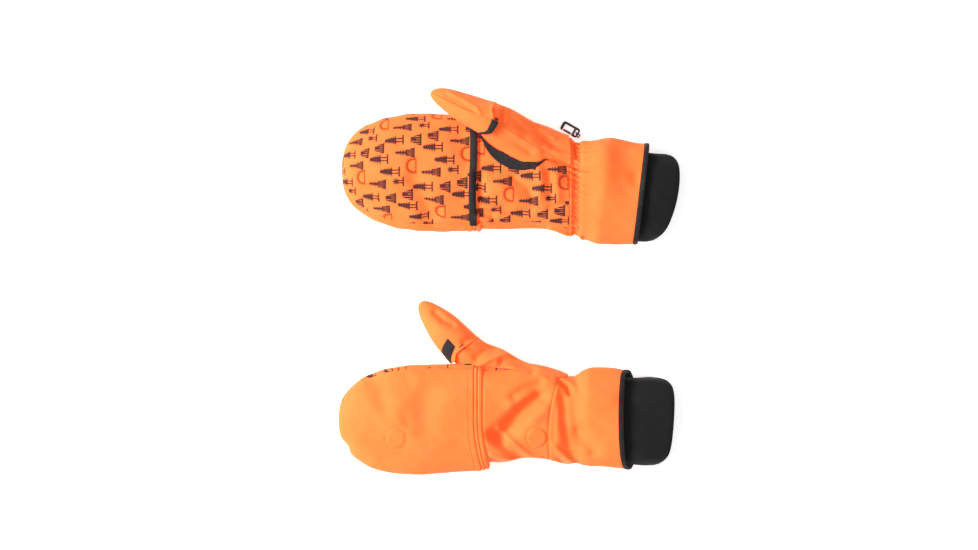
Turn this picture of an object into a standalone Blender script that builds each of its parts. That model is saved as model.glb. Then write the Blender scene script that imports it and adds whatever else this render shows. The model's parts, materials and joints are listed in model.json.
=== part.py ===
"""A pair of flip-top mittens, lying flat: the left one palm down, the right one palm up.

Each mitten is a fleece shell over a lining, with a hood that flips off the fingers, a thumb with
a flip cap, four short finger stalls, two magnets that hold the hood back, a shirred wrist, a
gauntlet with a bound hem and a knit storm cuff. A small plastic clip hangs on the right one.

Lengths here are millimetres in a mitten's own frame: x runs from the hood's fold line towards
the cuff, y towards the thumb, z up from the surface it lies on. MM turns them into metres.
"""
import math
from dataclasses import dataclass

import bmesh
import bpy
from mathutils import Vector

MM = 0.001
GAP = 0.3               # clearance between sewn layers
OVAL_POWER = 2.3        # exponent of the superellipse that every tube section follows
SEAM_TURN = 28.0        # side seams sit this many degrees towards the back at the thumb
SEAM_GAP = 0.4          # half of the gap at a side seam, degrees
ANGLE_PITCH = 15.0      # degrees between the points round a shell
SEAM_SPLIT = 0.2        # palm and back pieces also part by this much across the thickness
SHELL_WALL = 2.0
LINING_INSET = 2.3
LINING_WALL = 1.1
HOOD_PARALLEL = 40.0    # the hood keeps its width for this long before it rounds to the tip
HOOD_TIP_POWER = 2.5
HOOD_TIP_DROP = 5.0     # the hood's mid-line drops by this much at its tip
BINDING_SKIP = 2        # pitches left unbound at the thumb, where the flipping hood rubs the hand
PANEL_START = 12.4      # the back panel begins behind the double seam strip
WRIST_X = 94.0
HEM_BAND = 5.0
MAGNET_X = 64.4
MAGNET_Y = -16.0
MAGNET_RADIUS = 8.5
MAGNET_THICKNESS = 2.0
POCKET_WALL = 0.8
POCKET_RADIUS = MAGNET_RADIUS + GAP + POCKET_WALL
THUMB_WALL = 1.4
THUMB_STATIONS = [0.0, 0.2, 0.4, 0.6, 0.8, 1.0]
CAP_WALL = 1.8
CAP_HALF_WIDTH = 16.9
CAP_HALF_HEIGHT = 14.3
CAP_BAND = 3.6
THUMB_SEAM = 90.0       # degrees round the thumb to its palm-facing seam
THUMB_PITCH = 22.5
THUMB_FRONT_SPANS = 5   # pitches from that seam to the one beside the fingers
THUMB_SEAM_GAP = 1.5
STALL_PITCH = 23.0
STALL_HALF_WIDTH = 10.2
STALL_HALF_HEIGHT = 10.5
STALL_WALL = 1.2
CLIP_ROOT = Vector((103.6, 35.2, 0.0))
CLIP_TURN = math.radians(150.2)
CLIP_ALONG = Vector((math.cos(CLIP_TURN), math.sin(CLIP_TURN), 0.0))
CLIP_ACROSS = Vector((-CLIP_ALONG.y, CLIP_ALONG.x, 0.0))
CLIP_LOW = 1.6
CLIP_HIGH = 4.4
CLIP_LENGTH = 18.0
CLIP_HALF_WIDTH = 4.6
CLIP_GATE_PIVOT = (7.2, 3.3)
CLIP_CORD_RADIUS = 0.6


@dataclass(frozen=True)
class Mitten:
    """Driving dimensions of one mitten. Rows are x, centre, half width, palm, back, mid height."""
    side: str
    palm_up: bool
    place: tuple
    hood_length: float
    hood: tuple
    hand: tuple
    cuff: tuple
    hem_x: float
    hem_skew: float
    hem_lean: float
    thumb_path: tuple
    thumb_tip: tuple

    @property
    def up(self):
        """+1 where the palm faces up."""
        return 1.0 if self.palm_up else -1.0


LEFT = Mitten(
    side="left", palm_up=False, place=(-41.4, -127.5), hood_length=118.0,
    hood=((-HOOD_PARALLEL, 0.0, 50.6, 19.4, 17.4, 18.4), (0.0, 2.0, 49.5, 19.4, 17.4, 18.4),
          (10.0, 2.0, 49.5, 19.4, 17.4, 18.4)),
    hand=((-2.0, 2.0, 45.8, 15.8, 14.9, 18.4), (10.0, 2.0, 45.8, 15.8, 14.9, 18.4),
          (15.0, 3.3, 45.2, 18.3, 18.2, 17.4), (30.0, 4.5, 44.0, 18.5, 18.0, 17.5),
          (60.0, 7.5, 42.5, 18.5, 18.0, 17.5), (85.0, 4.0, 42.5, 17.5, 17.5, 16.5),
          (97.0, 1.0, 40.5, 17.0, 17.0, 16.0), (117.0, 3.0, 45.5, 20.0, 20.0, 19.0),
          (152.0, 1.5, 46.0, 21.0, 21.0, 20.0)),
    cuff=((105.0, 2.0, 37.5, 13.5, 13.5, 16.8), (122.0, 2.0, 40.0, 15.5, 15.5, 18.6),
          (160.0, -0.3, 40.0, 16.0, 16.0, 19.4), (191.0, -1.4, 40.0, 16.0, 16.0, 15.5)),
    hem_x=146.0, hem_skew=0.0, hem_lean=7.0,
    thumb_path=((52.0, 36.0, 17.0), (24.0, 55.0, 14.8), (-5.5, 66.0, 14.8)),
    thumb_tip=(-39.5, 107.6, 14.0))

RIGHT = Mitten(
    side="right", palm_up=True, place=(-41.4, 100.7), hood_length=115.0,
    hood=((-HOOD_PARALLEL, 0.0, 54.0, 19.5, 17.0, 16.0), (0.0, -0.5, 54.0, 19.5, 17.0, 16.0),
          (10.0, -0.5, 54.0, 19.5, 17.0, 16.0)),
    hand=((-2.0, -0.5, 51.0, 16.7, 14.4, 16.0), (10.0, -0.5, 51.0, 16.7, 14.4, 16.0),
          (14.0, -0.6, 51.0, 17.3, 17.0, 16.0), (40.0, -1.5, 50.5, 17.5, 17.0, 16.0),
          (75.0, -6.0, 47.0, 17.5, 17.0, 16.0), (96.0, -13.0, 45.5, 16.5, 16.5, 15.6),
          (110.0, -17.0, 45.5, 17.5, 17.5, 16.6), (128.0, -16.8, 49.5, 20.0, 20.0, 19.0),
          (166.0, -19.0, 47.0, 20.0, 20.0, 19.0)),
    cuff=((106.0, -16.0, 41.0, 13.5, 13.5, 16.4), (128.0, -18.0, 41.0, 15.0, 15.0, 18.2),
          (170.0, -21.0, 41.0, 15.5, 15.5, 18.7), (196.0, -24.0, 41.0, 15.0, 15.0, 14.5)),
    hem_x=158.0, hem_skew=0.115, hem_lean=0.0,
    thumb_path=((80.0, 20.0, 26.0), (46.0, 38.0, 33.0), (18.4, 49.7, 42.5)),
    thumb_tip=(-30.5, 73.6, 38.0))

# Outline of the black insert at the thumb's root: x, y of its thumb edge and of its palm edge.
CRESCENT_UPPER = ((12.6, 33.0), (21.0, 24.8), (31.0, 18.4), (41.5, 12.9), (52.5, 8.6),
                  (62.0, 7.6), (68.5, 8.4))
CRESCENT_LOWER = ((68.0, 4.6), (59.5, 1.6), (50.0, 0.6), (40.0, 1.8),
                  (31.0, 5.0), (23.0, 10.0), (17.0, 18.0), (13.8, 25.0))


# ---------------------------------------------------------------- small tools

def interpolate(rows, x):
    """Values of the rows' other columns at x, linear between rows and held past the ends."""
    if x <= rows[0][0]:
        return rows[0][1:]
    for low, high in zip(rows, rows[1:]):
        if x <= high[0]:
            share = (x - low[0]) / (high[0] - low[0])
            return tuple(a + (b - a) * share for a, b in zip(low[1:], high[1:]))
    return rows[-1][1:]


def steps(start, end, count):
    """count + 1 evenly spaced values from start to end."""
    return [start + (end - start) * i / count for i in range(count + 1)]


def power(value, exponent):
    """Signed power, for superellipse points."""
    return math.copysign(abs(value) ** exponent, value)


def oval(angle, half_width, palm, back):
    """Point of a tube section: across, and out of the palm (+) or the back (-)."""
    turn = math.radians(angle)
    across = half_width * power(math.cos(turn), 2.0 / OVAL_POWER)
    depth = palm if math.sin(turn) > 0.0 else back
    return across, depth * power(math.sin(turn), 2.0 / OVAL_POWER)


# ---------------------------------------------------------------- surfaces of the cloth tubes

def place_on_section(mitten, x, row, angle, inset, split=0.0, hem=0.0):
    """Point on one section of a tube, inset from its outside and lying on the surface below."""
    centre, half_width, palm, back, mid = row
    across, out = oval(angle, half_width - inset, palm - inset, back - inset)
    height = mid + mitten.up * (out + split)
    shift = hem * (mitten.hem_skew * across + mitten.hem_lean * out / palm)
    return Vector((x + shift, centre + across, max(height, inset)))


def hem_share(x):
    """How much of the hem's slant a section has: none at the wrist, all of it at the hem."""
    return min(max((x - 97.0) / 31.0, 0.0), 1.0)


def hand_surface(mitten):
    """Surface function of the hand and gauntlet tube."""
    def surface(x, angle, inset, split=0.0):
        row = interpolate(mitten.hand, x)
        return place_on_section(mitten, x, row, angle, inset, split, hem_share(x))
    return surface


def cuff_surface(mitten):
    """Surface function of the knit storm cuff."""
    def surface(x, angle, inset, split=0.0):
        row = interpolate(mitten.cuff, x)
        return place_on_section(mitten, x, row, angle, inset, split, hem_share(x))
    return surface


def hood_surface(mitten):
    """Surface function of the hood: station -1 is its tip, 0 the start of its rounding,
    and positive stations are millimetres from there towards the wrist."""
    def surface(station, angle, inset, split=0.0):
        centre, half_width, palm, back, mid = interpolate(
            mitten.hood, station - HOOD_PARALLEL)
        x = station - HOOD_PARALLEL
        if station < 0.0:
            x = station * (mitten.hood_length - inset - HOOD_PARALLEL) - HOOD_PARALLEL
            keep = (1.0 - station * station) ** (1.0 / HOOD_TIP_POWER)
            mid -= HOOD_TIP_DROP * station * station
            half_width = inset + (half_width - inset) * keep
            palm = inset + (palm - inset) * keep
            back = inset + (back - inset) * keep
        row = (centre, half_width, palm, back, mid)
        return place_on_section(mitten, x, row, angle, inset, split)
    return surface


def thumb_path(mitten, s):
    """Point on the thumb's centre line: 0 at its root, 1 at the cap's mouth."""
    points = [Vector(p) for p in mitten.thumb_path]
    tip = Vector(mitten.thumb_tip)
    root, middle, mouth = points
    tangents = [middle - root, (mouth - root) / 2.0,
                (tip - mouth).normalized() * (mouth - middle).length]
    index = 0 if s < 0.5 else 1
    t = s * 2.0 - index
    a, b = points[index], points[index + 1]
    return (a * (2 * t ** 3 - 3 * t ** 2 + 1) + tangents[index] * (t ** 3 - 2 * t ** 2 + t)
            + b * (-2 * t ** 3 + 3 * t ** 2) + tangents[index + 1] * (t ** 3 - t ** 2))


def outward(direction):
    """Horizontal unit vector square to a direction, on the thumb's outer side."""
    side = Vector((direction.y, -direction.x, 0.0)).normalized()
    return side if side.x > 0.0 else -side


def thumb_point(mitten, centre, side, angle, half_width, half_height):
    """Point of a thumb section: 0 is the outer side, 90 faces the palm, 180 the fingers."""
    turn = math.radians(angle)
    rise = mitten.up * half_height * math.sin(turn)
    point = centre + side * (half_width * math.cos(turn))
    return Vector((point.x, point.y, max(point.z + rise, 0.0)))


def shaft_surface(mitten):
    """Surface function of the thumb between its root and the cap's mouth."""
    def surface(s, angle, inset, split=0.0):
        centre = thumb_path(mitten, s)
        side = outward(thumb_path(mitten, min(s + 0.02, 1.0)) - thumb_path(mitten, s - 0.02))
        half_width = 17.0 - 3.0 * s - inset
        half_height = 14.0 - 2.6 * s - inset
        point = thumb_point(mitten, centre, side, angle, half_width, half_height)
        return Vector((point.x, point.y, max(point.z, inset + 0.2)))
    return surface


def cap_surface(mitten):
    """Surface function of the thumb cap: 0 is its mouth, 1 its tip, below 0 its bound edge."""
    mouth = Vector(mitten.thumb_path[-1])
    tip = Vector(mitten.thumb_tip)
    side = outward(tip - mouth)
    length = (tip - mouth).length

    def surface(s, angle, inset, split=0.0):
        reach = s * (length - inset) / length if s > 0.0 else s
        centre = mouth + (tip - mouth) * reach
        keep = math.sqrt(max(1.0 - s ** 4, 0.0)) if s > 0.0 else 1.0
        taper = max(s, 0.0)
        half_width = (CAP_HALF_WIDTH - 5.9 * taper - inset) * keep
        half_height = (CAP_HALF_HEIGHT - 4.8 * taper - inset) * keep
        point = thumb_point(mitten, centre, side, angle, half_width, half_height)
        point.z += mitten.up * split
        return point
    return surface


def thumb_stall_surface(mitten):
    """Surface function of the thumb's lining, which ends slanted inside the cap."""
    shaft = shaft_surface(mitten)
    mouth = Vector(mitten.thumb_path[-1])
    ahead = (Vector(mitten.thumb_tip) - mouth).normalized()
    side = outward(ahead)

    def surface(s, angle, inset, split=0.0):
        if s <= 1.0:
            return shaft(s, angle, inset)
        reach = (11.0 + 5.0 * math.cos(math.radians(angle))) * (s - 1.0)
        narrow = inset + 1.6 * (s - 1.0)
        return thumb_point(mitten, mouth + ahead * reach, side, angle,
                           14.0 - narrow, 11.4 - narrow)
    return surface


# ---------------------------------------------------------------- solids and objects

def material(name, colour, roughness, metallic=0.0):
    """Principled material, made once and then shared."""
    found = bpy.data.materials.get(name)
    if found:
        return found
    made = bpy.data.materials.new(name)
    made.use_nodes = True
    shader = made.node_tree.nodes["Principled BSDF"]
    shader.inputs["Base Color"].default_value = (*colour, 1.0)
    shader.inputs["Roughness"].default_value = roughness
    shader.inputs["Metallic"].default_value = metallic
    made.diffuse_color = (*colour, 1.0)
    return made


def orange_fleece():
    """Brushed orange outer fleece."""
    return material("orange_fleece", (0.90, 0.26, 0.05), 0.9)


def printed_fleece():
    """Orange fleece of the palms, which carries a dark print."""
    return material("printed_fleece", (0.80, 0.22, 0.05), 0.9)


def black_binding():
    """Black woven binding tape."""
    return material("black_binding", (0.012, 0.011, 0.012), 0.75)


def black_knit():
    """Ribbed black knit."""
    return material("black_knit", (0.014, 0.014, 0.015), 0.9)


def orange_lining():
    """Smooth orange inner fleece."""
    return material("orange_lining", (0.85, 0.30, 0.10), 0.85)


def white_elastic():
    """Woven elastic hidden at the wrist."""
    return material("white_elastic", (0.75, 0.75, 0.73), 0.8)


def magnet_metal():
    """Plated magnet."""
    return material("magnet_metal", (0.55, 0.55, 0.56), 0.3, 1.0)


def black_plastic():
    """Moulded black plastic."""
    return material("black_plastic", (0.015, 0.015, 0.017), 0.45)


def grey_plastic():
    """Moulded light grey plastic of the clip's gate."""
    return material("grey_plastic", (0.45, 0.45, 0.46), 0.45)


class Frame:
    """Empty on a joint's axis, or at a mitten's own origin; its children are made about it."""

    def __init__(self, name, pivot, parent=None):
        self.pivot = Vector(pivot)
        self.empty = bpy.data.objects.new(name, None)
        self.empty.empty_display_size = 0.01
        bpy.context.collection.objects.link(self.empty)
        offset = self.pivot
        if parent:
            self.empty.parent = parent.empty
            offset = self.pivot - parent.pivot
        self.empty.location = offset * MM

    def add(self, name, bm, finish):
        """Object from a bmesh in millimetres, shaded smooth, hanging on this empty."""
        bmesh.ops.translate(bm, verts=bm.verts, vec=-self.pivot)
        bmesh.ops.scale(bm, verts=bm.verts, vec=(MM, MM, MM))
        bmesh.ops.recalc_face_normals(bm, faces=bm.faces)
        mesh = bpy.data.meshes.new(name)
        bm.to_mesh(mesh)
        bm.free()
        mesh.shade_smooth()
        mesh.set_sharp_from_angle(angle=math.radians(40.0))
        mesh.materials.append(finish)
        made = bpy.data.objects.new(name, mesh)
        bpy.context.collection.objects.link(made)
        made.parent = self.empty
        return made


def shell(surface, stations, angles, inset, wall, closed=False, split=0.0):
    """Sheet of a wall's thickness between two insets of a surface; closed makes it a tube."""
    bm = bmesh.new()
    layers = []
    for depth in (inset, inset + wall):
        rows = [[bm.verts.new(surface(s, a, depth, split)) for a in angles] for s in stations]
        layers.append(rows)
    outer, inner = layers
    columns = len(angles)
    spans = range(columns) if closed else range(columns - 1)
    last = len(stations) - 1
    for j in spans:
        k = (j + 1) % columns
        for i in range(last):
            bm.faces.new((outer[i][j], outer[i][k], outer[i + 1][k], outer[i + 1][j]))
            bm.faces.new((inner[i][j], inner[i + 1][j], inner[i + 1][k], inner[i][k]))
        for i in (0, last):
            bm.faces.new((outer[i][j], inner[i][j], inner[i][k], outer[i][k]))
    if not closed:
        for j in (0, columns - 1):
            for i in range(last):
                bm.faces.new((outer[i][j], outer[i + 1][j], inner[i + 1][j], inner[i][j]))
    return bm


def solid(surface, stations, angles, inset):
    """Solid inside a surface, with flat ends."""
    bm = bmesh.new()
    rows = [[bm.verts.new(surface(s, a, inset)) for a in angles] for s in stations]
    columns = len(angles)
    for low, high in zip(rows, rows[1:]):
        for j in range(columns):
            k = (j + 1) % columns
            bm.faces.new((low[j], low[k], high[k], high[j]))
    bm.faces.new(rows[0])
    bm.faces.new(rows[-1])
    return bm


def prism(outline, low, high):
    """Upright solid on an outline of x, y points."""
    bm = bmesh.new()
    floor = bm.faces.new([bm.verts.new((x, y, low)) for x, y in outline])
    top = bmesh.ops.extrude_face_region(bm, geom=[floor])["geom"]
    lifted = [v for v in top if isinstance(v, bmesh.types.BMVert)]
    bmesh.ops.translate(bm, verts=lifted, vec=(0.0, 0.0, high - low))
    return bm


def turned(centre, profile, sides):
    """Ring or disc about a vertical axis; a closed profile of radius, z points.
    A point of radius 0 is a pole."""
    bm = bmesh.new()
    rings = []
    for radius, z in profile:
        if radius == 0.0:
            rings.append([bm.verts.new(centre + Vector((0.0, 0.0, z)))])
            continue
        rings.append([bm.verts.new(centre + Vector((radius * math.cos(t), radius * math.sin(t), z)))
                      for t in (2.0 * math.pi * i / sides for i in range(sides))])
    pairs = list(zip(rings, rings[1:]))
    if profile[0][0] > 0.0:
        pairs.append((rings[-1], rings[0]))
    for a, b in pairs:
        for i in range(sides):
            j = (i + 1) % sides
            corners = (a[i % len(a)], a[j % len(a)], b[j % len(b)], b[i % len(b)])
            bm.faces.new(list(dict.fromkeys(corners)))
    return bm


def cut(piece, cutter, operation="DIFFERENCE"):
    """Boolean cut of a piece by a hidden cutter."""
    modifier = piece.modifiers.new(cutter.name, "BOOLEAN")
    modifier.operation = operation
    modifier.solver = "EXACT"
    modifier.use_self = True
    modifier.object = cutter
    cutter.hide_render = True
    cutter.display_type = "WIRE"


def even_angles(count):
    """Angles evenly round a full tube."""
    return steps(0.0, 360.0, count)[:-1]


def seam_angles(start, count):
    """Angles from start at the pitch that every layer of the shell shares."""
    return [start + ANGLE_PITCH * i for i in range(count + 1)]


def ring_angles():
    """Angles round a full tube, in line with those of the two panels."""
    return seam_angles(-SEAM_TURN, round(360.0 / ANGLE_PITCH))[:-1]


def half_angles(start):
    """Angles of a half tube, stopping just short of the side seams at both its edges."""
    angles = seam_angles(start, round(180.0 / ANGLE_PITCH))
    return [start + SEAM_GAP] + angles[1:-1] + [angles[-1] - SEAM_GAP]


def palm_angles():
    """Angles of the palm piece, from the thumb's side seam round to the other one."""
    return half_angles(-SEAM_TURN)


def back_angles():
    """Angles of the back piece."""
    return half_angles(180.0 - SEAM_TURN)


def thumb_ring():
    """Angles round the thumb's full tube, in line with those of its two panels."""
    return [THUMB_SEAM + THUMB_PITCH * i for i in range(round(360.0 / THUMB_PITCH))]


def thumb_front_angles():
    """Angles of the palm-facing piece of the thumb."""
    angles = thumb_ring()[:THUMB_FRONT_SPANS + 1]
    return [angles[0] + THUMB_SEAM_GAP] + angles[1:-1] + [angles[-1] - THUMB_SEAM_GAP]


def thumb_back_angles():
    """Angles of the outer piece of the thumb."""
    angles = thumb_ring()[THUMB_FRONT_SPANS:] + [THUMB_SEAM + 360.0]
    return [angles[0] + THUMB_SEAM_GAP] + angles[1:-1] + [angles[-1] - THUMB_SEAM_GAP]


def row_stations(rows, start, end):
    """Start, every row's x between, and end, so that layers bend at the same places."""
    return [start] + [row[0] for row in rows if start + 1.0 < row[0] < end - 1.0] + [end]


# ---------------------------------------------------------------- sub-parts of a mitten

def hood_stations(end_x):
    """Stations from the hood's tip, close together where it rounds, to an x past the rounding."""
    rounding = [-math.cos(math.radians(a)) for a in steps(1.2, 90.0, 5)]
    return rounding + [HOOD_PARALLEL + end_x]


def magnet_height(mitten, surface, stations):
    """Height of a magnet's face, clear of the back's lining all over the pocket."""
    under = [surface(station, angle, LINING_INSET + LINING_WALL)
             for station in stations for angle in steps(180.0, 360.0, 90)]
    near = [p.z for p in under if abs(p.y - MAGNET_Y) <= POCKET_RADIUS + 1.0]
    return max(near) + GAP if mitten.palm_up else min(near) - GAP


def add_magnet(frame, mitten, part, x, surface, stations):
    """Magnet disc in a shallow pocket, behind the lining of the back."""
    into = mitten.up
    face = magnet_height(mitten, surface, stations)
    centre = Vector((x, MAGNET_Y, face))
    disc = [(0.0, 0.0), (MAGNET_RADIUS, 0.0), (MAGNET_RADIUS, into * MAGNET_THICKNESS),
            (0.0, into * MAGNET_THICKNESS)]
    frame.add(f"{mitten.side}_{part}_magnet", turned(centre, disc, 16), magnet_metal())
    inner = MAGNET_RADIUS + GAP
    depth = MAGNET_THICKNESS + GAP
    floor = depth + POCKET_WALL
    cup = [(0.0, into * depth), (inner, into * depth), (inner, 0.0), (POCKET_RADIUS, 0.0),
           (POCKET_RADIUS, into * floor), (0.0, into * floor)]
    frame.add(f"{mitten.side}_{part}_magnet_pocket", turned(centre, cup, 16), orange_lining())


def add_hood(mitten, hinge):
    """Flip-over finger hood: two panels, a bound mouth, a lining, a magnet in its pocket."""
    side = mitten.side
    surface = hood_surface(mitten)
    back_sheet = shell(surface, hood_stations(-GAP), back_angles(), 0.0, SHELL_WALL,
                       split=-SEAM_SPLIT)
    hinge.add(f"{side}_hood_back_panel", back_sheet, orange_fleece())
    palm_sheet = shell(surface, hood_stations(2.0), palm_angles(), 0.0, SHELL_WALL,
                       split=SEAM_SPLIT)
    hinge.add(f"{side}_hood_palm_panel", palm_sheet, printed_fleece())
    band = shell(surface, [HOOD_PARALLEL + 2.3, HOOD_PARALLEL + 9.0],
                 palm_angles()[BINDING_SKIP:], 0.0, SHELL_WALL, split=SEAM_SPLIT)
    hinge.add(f"{side}_hood_binding", band, black_binding())
    lining = shell(surface, hood_stations(-2.0), ring_angles(), LINING_INSET, LINING_WALL,
                   closed=True)
    hinge.add(f"{side}_hood_lining", lining, orange_lining())
    rounding = mitten.hood_length - HOOD_PARALLEL
    under_pocket = [-(MAGNET_X + reach - HOOD_PARALLEL) / rounding
                    for reach in (-POCKET_RADIUS, 0.0, POCKET_RADIUS)]
    add_magnet(hinge, mitten, "hood", -MAGNET_X, surface, under_pocket)


def add_stalls(mitten, frame):
    """Four short open finger tubes, cut slanted so that they are longer on the back."""
    row = interpolate(mitten.hand, 0.0)
    centre_y, mid = row[0], row[4]
    for index, name in enumerate(("index", "middle", "ring", "little")):
        y = centre_y + STALL_PITCH * (1.5 - index) * (1.0 if mitten.palm_up else 0.93)
        half_width = STALL_HALF_WIDTH * (1.0 if mitten.palm_up else 0.93)
        shrink = 1.5 if name in ("index", "little") else 0.0

        def surface(t, angle, inset, split=0.0, y=y, half_width=half_width, shrink=shrink):
            turn = math.radians(angle)
            length = 20.0 - 6.0 * math.sin(turn)
            out = (STALL_HALF_HEIGHT - shrink - inset) * math.sin(turn)
            return Vector((2.4 - t * length, y + (half_width - inset) * math.cos(turn),
                           mid + mitten.up * out))
        tube = shell(surface, steps(0.0, 1.0, 2), even_angles(12), 0.0, STALL_WALL, closed=True)
        frame.add(f"{mitten.side}_{name}_stall", tube, orange_lining())


def add_thumb_cutters(mitten, frame):
    """Hidden solids: the hand, which trims the thumb, and the thumb, which pierces the hand."""
    hand = hand_surface(mitten)
    trims = [frame.add(f"{mitten.side}_hand_cutter",
                       solid(hand, row_stations(mitten.hand, -6.0, 100.0), ring_angles(), -GAP),
                       orange_fleece())]
    if not mitten.palm_up:
        beside_hood = [(-60.0, -80.0), (12.0, -80.0), (12.0, 52.8), (-60.0, 52.8)]
        trims.append(frame.add(f"{mitten.side}_hood_side_cutter",
                               prism(beside_hood, -10.0, 28.0), orange_fleece()))
    bore = frame.add(f"{mitten.side}_thumb_bore_cutter",
                     solid(shaft_surface(mitten), THUMB_STATIONS, thumb_ring(), -2.0 * GAP),
                     orange_fleece())
    return trims, bore


def add_thumb(mitten, frame, trims):
    """Thumb shaft: outer shell and inner panel over a lining that ends inside the cap."""
    side = mitten.side
    surface = shaft_surface(mitten)
    outer = frame.add(f"{side}_thumb_outer_shell",
                      shell(surface, THUMB_STATIONS, thumb_back_angles(), 0.0, THUMB_WALL),
                      orange_fleece())
    inner = frame.add(f"{side}_thumb_inner_panel",
                      shell(surface, THUMB_STATIONS, thumb_front_angles(), 0.0, THUMB_WALL),
                      orange_fleece())
    lining = frame.add(f"{side}_thumb_lining",
                       shell(thumb_stall_surface(mitten), THUMB_STATIONS + [1.5, 2.0],
                             thumb_ring(), THUMB_WALL + GAP, 1.0, closed=True), orange_lining())
    for piece in (outer, inner, lining):
        for cutter in trims:
            cut(piece, cutter)


def add_thumb_cap(mitten, hinge):
    """Thumb cap: a back and a front panel, and black binding round the mouth's finger side."""
    side = mitten.side
    surface = cap_surface(mitten)
    stations = [0.0, 0.3, 0.55, 0.75, 0.9, 0.97, 0.9985]
    hinge.add(f"{side}_thumb_cap_back",
              shell(surface, stations, thumb_back_angles(), 0.0, CAP_WALL, split=-SEAM_SPLIT),
              orange_fleece())
    hinge.add(f"{side}_thumb_cap_front",
              shell(surface, stations, thumb_front_angles(), 0.0, CAP_WALL, split=SEAM_SPLIT),
              orange_fleece())
    length = (Vector(mitten.thumb_tip) - Vector(mitten.thumb_path[-1])).length
    hinge.add(f"{side}_thumb_cap_binding",
              shell(surface, [-CAP_BAND / length, -GAP / length], steps(92.0, 268.0, 8), 0.0,
                    CAP_WALL), black_binding())


def add_hand(mitten, frame, bore):
    """Hand shell: back, double seam strip, palm with the black insert, lining and magnet."""
    side = mitten.side
    surface = hand_surface(mitten)
    strip_stations = [HOOD_PARALLEL + 2.0 * GAP, HOOD_PARALLEL + PANEL_START - 0.4]
    strip = shell(hood_surface(mitten), strip_stations, back_angles(), 0.0, SHELL_WALL,
                  split=-SEAM_SPLIT)
    frame.add(f"{side}_hood_seam_strip", strip, orange_fleece())
    back = frame.add(f"{side}_back_panel",
                     shell(surface, row_stations(mitten.hand, PANEL_START, WRIST_X),
                           back_angles(), 0.0, SHELL_WALL, split=-SEAM_SPLIT), orange_fleece())
    palm_stations = row_stations(mitten.hand, -0.5, WRIST_X)
    palm = frame.add(f"{side}_palm_panel",
                     shell(surface, palm_stations, palm_angles(), 0.0, SHELL_WALL,
                           split=SEAM_SPLIT), printed_fleece())
    crescent = frame.add(f"{side}_thumb_crescent",
                         shell(surface, palm_stations, palm_angles(), 0.0, SHELL_WALL,
                               split=SEAM_SPLIT), black_binding())
    lining = frame.add(f"{side}_hand_lining",
                       shell(surface, row_stations(mitten.hand, 3.0, WRIST_X), ring_angles(),
                             LINING_INSET, LINING_WALL, closed=True), orange_lining())
    palm_side = (10.0, 70.0) if mitten.palm_up else (-10.0, 14.0)
    keep = frame.add(f"{side}_crescent_keep",
                     prism(CRESCENT_UPPER + CRESCENT_LOWER, *palm_side), black_binding())
    hole = frame.add(f"{side}_crescent_hole",
                     prism(grown_crescent(), palm_side[0] - 1.0, palm_side[1] + 1.0),
                     black_binding())
    cut(palm, bore)
    cut(palm, hole)
    cut(crescent, keep, "INTERSECT")
    cut(crescent, bore)
    cut(back, bore)
    cut(lining, bore)
    under_pocket = [MAGNET_X + reach for reach in (-POCKET_RADIUS, 0.0, POCKET_RADIUS)]
    add_magnet(frame, mitten, "hand", MAGNET_X, surface, under_pocket)


def grown_crescent():
    """The black insert's outline, grown by a gap on every side, with mitred corners."""
    points = [Vector(p) for p in CRESCENT_UPPER + CRESCENT_LOWER]
    grown = []
    for before, here, after in zip(points[-1:] + points[:-1], points, points[1:] + points[:1]):
        arriving = (here - before).normalized()
        leaving = (after - here).normalized()
        normals = [Vector((-way.y, way.x)) for way in (arriving, leaving)]
        spread = max(1.0 + normals[0].dot(normals[1]), 0.5)
        grown.append(tuple(here + (normals[0] + normals[1]) * (GAP * 1.3 / spread)))
    return grown


def add_wrist(mitten, frame):
    """Shirring elastic, flared gauntlet, hem binding and knit storm cuff."""
    side = mitten.side
    surface = hand_surface(mitten)
    elastic = shell(surface, row_stations(mitten.hand, WRIST_X + 1.0, WRIST_X + 10.0),
                    ring_angles(), LINING_INSET, LINING_WALL, closed=True)
    frame.add(f"{side}_wrist_elastic", elastic, white_elastic())
    hem = mitten.hem_x
    gauntlet = shell(surface, row_stations(mitten.hand, WRIST_X + 0.6, hem), ring_angles(),
                     0.0, SHELL_WALL, closed=True)
    frame.add(f"{side}_gauntlet", gauntlet, orange_fleece())
    band = shell(surface, [hem + GAP, hem + HEM_BAND], ring_angles(), 0.0, SHELL_WALL + 0.4,
                 closed=True)
    frame.add(f"{side}_hem_binding", band, black_binding())
    cuff = cuff_surface(mitten)
    knit = shell(cuff, [row[0] for row in mitten.cuff], ring_angles(), 0.0, 2.6, closed=True)
    frame.add(f"{side}_knit_cuff", knit, black_knit())


# ---------------------------------------------------------------- the clip on the right mitten

def clip_point(u, v, z=0.0):
    """Mitten-frame point from the clip's own length, width and height."""
    return CLIP_ROOT + CLIP_ALONG * u + CLIP_ACROSS * v + Vector((0.0, 0.0, z))


def clip_prism(points, low, high):
    """Upright solid on an outline in the clip's own coordinates."""
    return prism([tuple(clip_point(u, v).xy) for u, v in points], low, high)


def rounded_box(u_low, u_high, v_low, v_high, radius):
    """Outline of a box with round corners, three points to a corner."""
    outline = []
    corners = ((u_high - radius, v_high - radius, 0.0), (u_low + radius, v_high - radius, 90.0),
               (u_low + radius, v_low + radius, 180.0), (u_high - radius, v_low + radius, 270.0))
    for u, v, start in corners:
        for angle in steps(start, start + 90.0, 2):
            turn = math.radians(angle)
            outline.append((u + radius * math.cos(turn), v + radius * math.sin(turn)))
    return outline


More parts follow.
